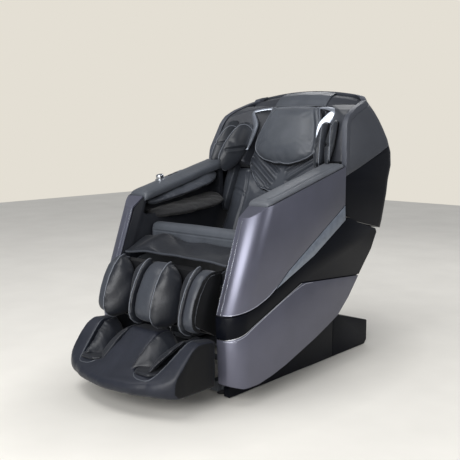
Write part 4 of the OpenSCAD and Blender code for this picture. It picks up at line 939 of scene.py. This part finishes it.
bezel = placed("speaker_bezel_left", bpy.ops.mesh.primitive_grid_add, x_subdivisions=speaker["across"],
               y_subdivisions=speaker["along"], size=1)
setPoints(bezel, np.array([platePoint(across, along) for across, along, _ in points(bezel)]))
softened(bezel, 4)
editing(bezel)
bpy.ops.mesh.normals_make_consistent(inside=False)
leaveEdit()
if np.dot(bezel.data.polygons[0].normal, backForward) < 0:
    editing(bezel)
    bpy.ops.mesh.flip_normals()
    leaveEdit()
applied(bezel, "SOLIDIFY", thickness=speaker["depth"], offset=-1)
applied(bezel, "BEVEL", width=speaker["edge"], segments=2, limit_method="ANGLE", angle_limit=math.radians(40))
smoothShaded(bezel, 40)
for side, piece in (("left", bezel), ("right", mirroredCopy(bezel, "speaker_bezel_right"))):
    dressed(piece, "backrest", "chrome_satin", "chrome_trim", nodes=["speaker_" + side])
print("headliner, shoulder airbags and speakers made")

edgeLine = {"radius": 0.0011, "innerX": 0.334, "cornerX": 0.380,
            "lower": [(-413, 257), (-372, 274), (-328, 299), (-17, 420), (60, 415)],
            "upper": [(-415, 357), (-366, 369), (-300, 382), (-230, 406), (-180, 436)]}  # y and height in mm


def shellLine(name, panel, sign, line):  # silver line on a side panel, from its inner front edge rearwards
    height = line[0][1] / 1000
    front = [(sign * x, -1.0, height) for x in np.linspace(edgeLine["innerX"], edgeLine["cornerX"], 14)]
    along = [(sign * 0.9, p[0] / 1000, p[1] / 1000) for p in smoothLine([(y, z, 0) for y, z in line], step=6)]
    landed = dropped(panel, front, (0, 1, 0)) + dropped(panel, along, (-sign, 0, 0))
    dressed(tube(name, landed, edgeLine["radius"]), "cradle", "edge_line", "chrome_trim")


for side, sign in (("left", 1), ("right", -1)):
    for level, panel in (("lower", "lower_panel"), ("upper", "arm_panel")):
        shellLine("%s_panel_line_%s" % (level, side), bpy.data.objects["%s_%s_shell" % (panel, side)], sign,
                  edgeLine[level])
print("silver lines made")

calf = {"voxel": 0.006, "rounds": 3, "cap": 0.004, "frames": 12, "fill": 0.75, "ripple": (0.10, 0.0010),
        "hold": -0.40, "pipe": 0.0023, "pipeIn": 0.007, "sideFrom": 0.262}
calfTrack = [(-378, 520), (-412, 520), (-440, 508), (-467, 482), (-492, 440), (-511, 397), (-523, 355),
             (-525, 325), (-516, 302), (-496, 286), (-470, 279)]  # front of the leg rest, y and height
bandEdges = {"right": (-0.272, -0.214), "middle": (-0.050, 0.050), "left": (0.214, 0.272)}


def overTrack(piece, x):  # line down the front of a band, laid on its leather
    tree = surfaceOf(piece)
    track = np.array([p[:2] for p in smoothLine([(y, z, 0) for y, z in calfTrack], step=9)])
    line = []
    for outside, inside in zip(shiftedLine(track, -80) / 1000, shiftedLine(track, 30) / 1000):
        start = Vector((x, *outside))
        way = Vector((x, *inside)) - start
        hit, _, _, _ = tree.ray_cast(start, way.normalized(), way.length)
        if hit is not None:
            line.append(hit)
    return line


bands = looseParts(remeshed(copyOf("calf_band", "calf_bands"), calf["voxel"], calf["rounds"]), lambda c: c[0])
for number, (band, (name, (right, left))) in enumerate(zip(bands, bandEdges.items())):
    band.name = "calf_band_" + name
    swollen(band, calf["cap"], lambda co: co[:, 1] > calf["hold"], calf["frames"])
    finer(band)
    rippled(band, *calf["ripple"], 51 + number)
    smoothShaded(band)
    for edge, x in enumerate((right + calf["pipeIn"], left - calf["pipeIn"])):
        line = smoothLine(overTrack(band, x), rounds=1)
        dressed(tube("calf_piping_%s_%d" % (name, edge), line, calf["pipe"]), "legrest", "piping", "leather")
    dressed(band, "legrest", "leather", "leather", calf["fill"], ["calf_bands"] if name == "middle" else ())
    if name != "middle":
        sideFaced(band, "leather_black", 0.7, calf["sideFrom"])


def wellPads(kind, body, look, seed, splayed, swelling):
    # a wedge on each wall of the two wells: a slab, splayed, swelling from its wall and filled with air
    for number, (wall, (wallX, side)) in enumerate(look["walls"].items()):
        piece = sidePrism("%s_pad_%s" % (kind, wall), look["outline"], 0.5 * look["thick"])
        co = points(piece)
        co[:, 0] += wallX + side * 0.5 * look["thick"] + side * splayed(co, wallX)
        setPoints(piece, co)
        remeshed(piece, look["voxel"], look["rounds"])
        co = points(piece)
        proud = np.clip(side * (co[:, 0] - wallX) / look["thick"], 0, 1)
        co[:, 0] += side * look["crown"] * proud * swelling(co)
        setPoints(piece, co)
        swollen(piece, look["cap"], lambda co: np.abs(co[:, 0] - wallX) < look["hold"], look["frames"])
        if "soften" in look:
            softened(piece, look["soften"])
        finer(piece)
        if "pipe" in look:
            welt = weltRound("%s_pad_piping_%s" % (kind, wall), piece, (wallX, *look["middle"]),
                             (side, 0, 0), 0.010, 120, look["pipe"])
            dressed(welt, body, "piping", "leather_dark")
        upholstered(piece, look, seed + number, body, "leather_dark", "leather_dark",
                    [kind + "_pads"] if number == 0 else ())


calfPad = {"voxel": 0.005, "rounds": 10, "cap": 0.008, "frames": 12, "soften": 3, "fill": 0.85,
           "ripple": (0.06, 0.0012), "in": 10, "thick": 0.018, "crown": 0.060, "hold": 0.008, "pipe": 0.0022,
           "middle": (-0.452, 0.392), "slant": 12.5,  # the outline's centre, and its lean in degrees
           "walls": {"right_outer": (-0.226, 1), "right_inner": (-0.050, -1),
                     "left_inner": (0.050, 1), "left_outer": (0.226, -1)}}  # x, and the way it faces
calfPad["outline"] = [(-404, 500), *map(tuple, shiftedLine(calfTrack[1:], calfPad["in"])), (-430, 290)]


def calfSwelling(co):  # 0 at the front seam and at both ends, 1 at the thick rear of the wedge
    lean = math.radians(calfPad["slant"])
    depth, height = (co[:, 1:] - np.array(calfPad["middle"])).T
    deep = np.clip((depth * math.cos(lean) - height * math.sin(lean) + 0.062) / 0.085, 0, 1)
    upright = depth * math.sin(lean) + height * math.cos(lean)
    ends = np.clip(1 - np.abs(upright / 0.124) ** 3.2, 0, 1) ** 0.7
    return ends * np.sin(0.5 * np.pi * deep) ** 0.8


wellPads("calf", "legrest", calfPad, 61, lambda co, wallX: 0, calfSwelling)
print("calf rest made")

foot = {"voxel": 0.006, "rounds": 14, "fill": 0.6, "sideFrom": 0.25, "nose": 0.018, "pipe": 0.0022}
wellEdge = [(80, -440), (86, -560), (104, -648), (124, -684), (190, -684), (214, -652), (238, -570),
            (256, -500), (258, -440)]  # rim of a foot well from above, mm
footShell = remeshed(leatherOf("foot_shell"), foot["voxel"], foot["rounds"])
co = points(footShell)
outwards = np.clip(np.abs(co[:, 0]) / 0.2, 0, 1) ** 2
co[:, 1] += foot["nose"] * outwards * np.clip((-0.56 - co[:, 1]) / 0.12, 0, 1)  # rounds the front in plan
setPoints(footShell, co)
finer(footShell)
for sign, side in ((-1, "right"), (1, "left")):
    rim = fromAbove(footShell, [(sign * x / 1000, y / 1000) for x, y in wellEdge])
    dressed(tube("foot_well_piping_" + side, rim, foot["pipe"]), "footrest", "leather_pale", "leather_dark")
smoothShaded(footShell)
dressed(footShell, "footrest", "leather_blue", "leather_dark", foot["fill"], ["foot_shell"])
sideFaced(footShell, "leather_black", 0.82, foot["sideFrom"])

bed = {"low": 0.150, "high": 0.163, "voxel": 0.005, "rounds": 4, "hump": 0.006, "humpAt": -0.548, "fill": 0.4}
bedPlan = [(78, -430), (250, -430), (246, -500), (231, -570), (210, -648), (192, -672), (122, -672),
           (102, -648), (84, -560)]  # from above, mm
for sign, side in ((-1, "right"), (1, "left")):
    corners = [(sign * x / 1000, y / 1000, bed["low"]) for x, y in bedPlan]
    piece = prismOf("foot_bed_" + side, corners, (0, 0, bed["high"] - bed["low"]))
    remeshed(piece, bed["voxel"], bed["rounds"])
    co = points(piece)
    hump = bed["hump"] * np.exp(-((co[:, 1] - bed["humpAt"]) / 0.03) ** 2)
    co[:, 2] += hump * (co[:, 2] > bed["low"] + 0.008)
    setPoints(piece, co)
    finer(piece)
    smoothShaded(piece)
    dressed(piece, "footrest", "leather_dark", "leather_dark", bed["fill"])

footPad = {"voxel": 0.005, "rounds": 8, "cap": 0.006, "frames": 12, "fill": 0.85, "ripple": (0.05, 0.0012),
           "thick": 0.016, "crown": 0.058, "hold": 0.006, "splay": 0.33,
           "walls": {"right_outer": (-0.250, 1), "right_inner": (-0.078, -1),
                     "left_inner": (0.078, 1), "left_outer": (0.250, -1)},
           "outline": [(-448, 264), (-520, 258), (-575, 228), (-632, 182), (-662, 156),
                       (-600, 154), (-448, 156)]}  # the rim first; y and height in mm


def footSplay(co, wallX):  # the outer walls of the wells draw in towards the toes
    return footPad["splay"] * np.clip(-0.48 - co[:, 1], 0, 1) * (abs(wallX) > 0.2)


def footSwelling(co):  # 0 at the seam on the well's edge and at both ends, 1 low in the well
    depths, heights = np.array(footPad["outline"][:5]).T / 1000
    deep = np.clip((np.interp(-co[:, 1], -depths, heights) - co[:, 2]) / 0.055, 0, 1)
    ends = np.clip((co[:, 1] + 0.668) / 0.07, 0, 1) ** 0.6 * np.clip((-0.436 - co[:, 1]) / 0.04, 0, 1) ** 0.5
    return ends * np.sin(0.5 * np.pi * deep)


wellPads("foot", "footrest", footPad, 71, footSplay, footSwelling)
print("foot rest made")
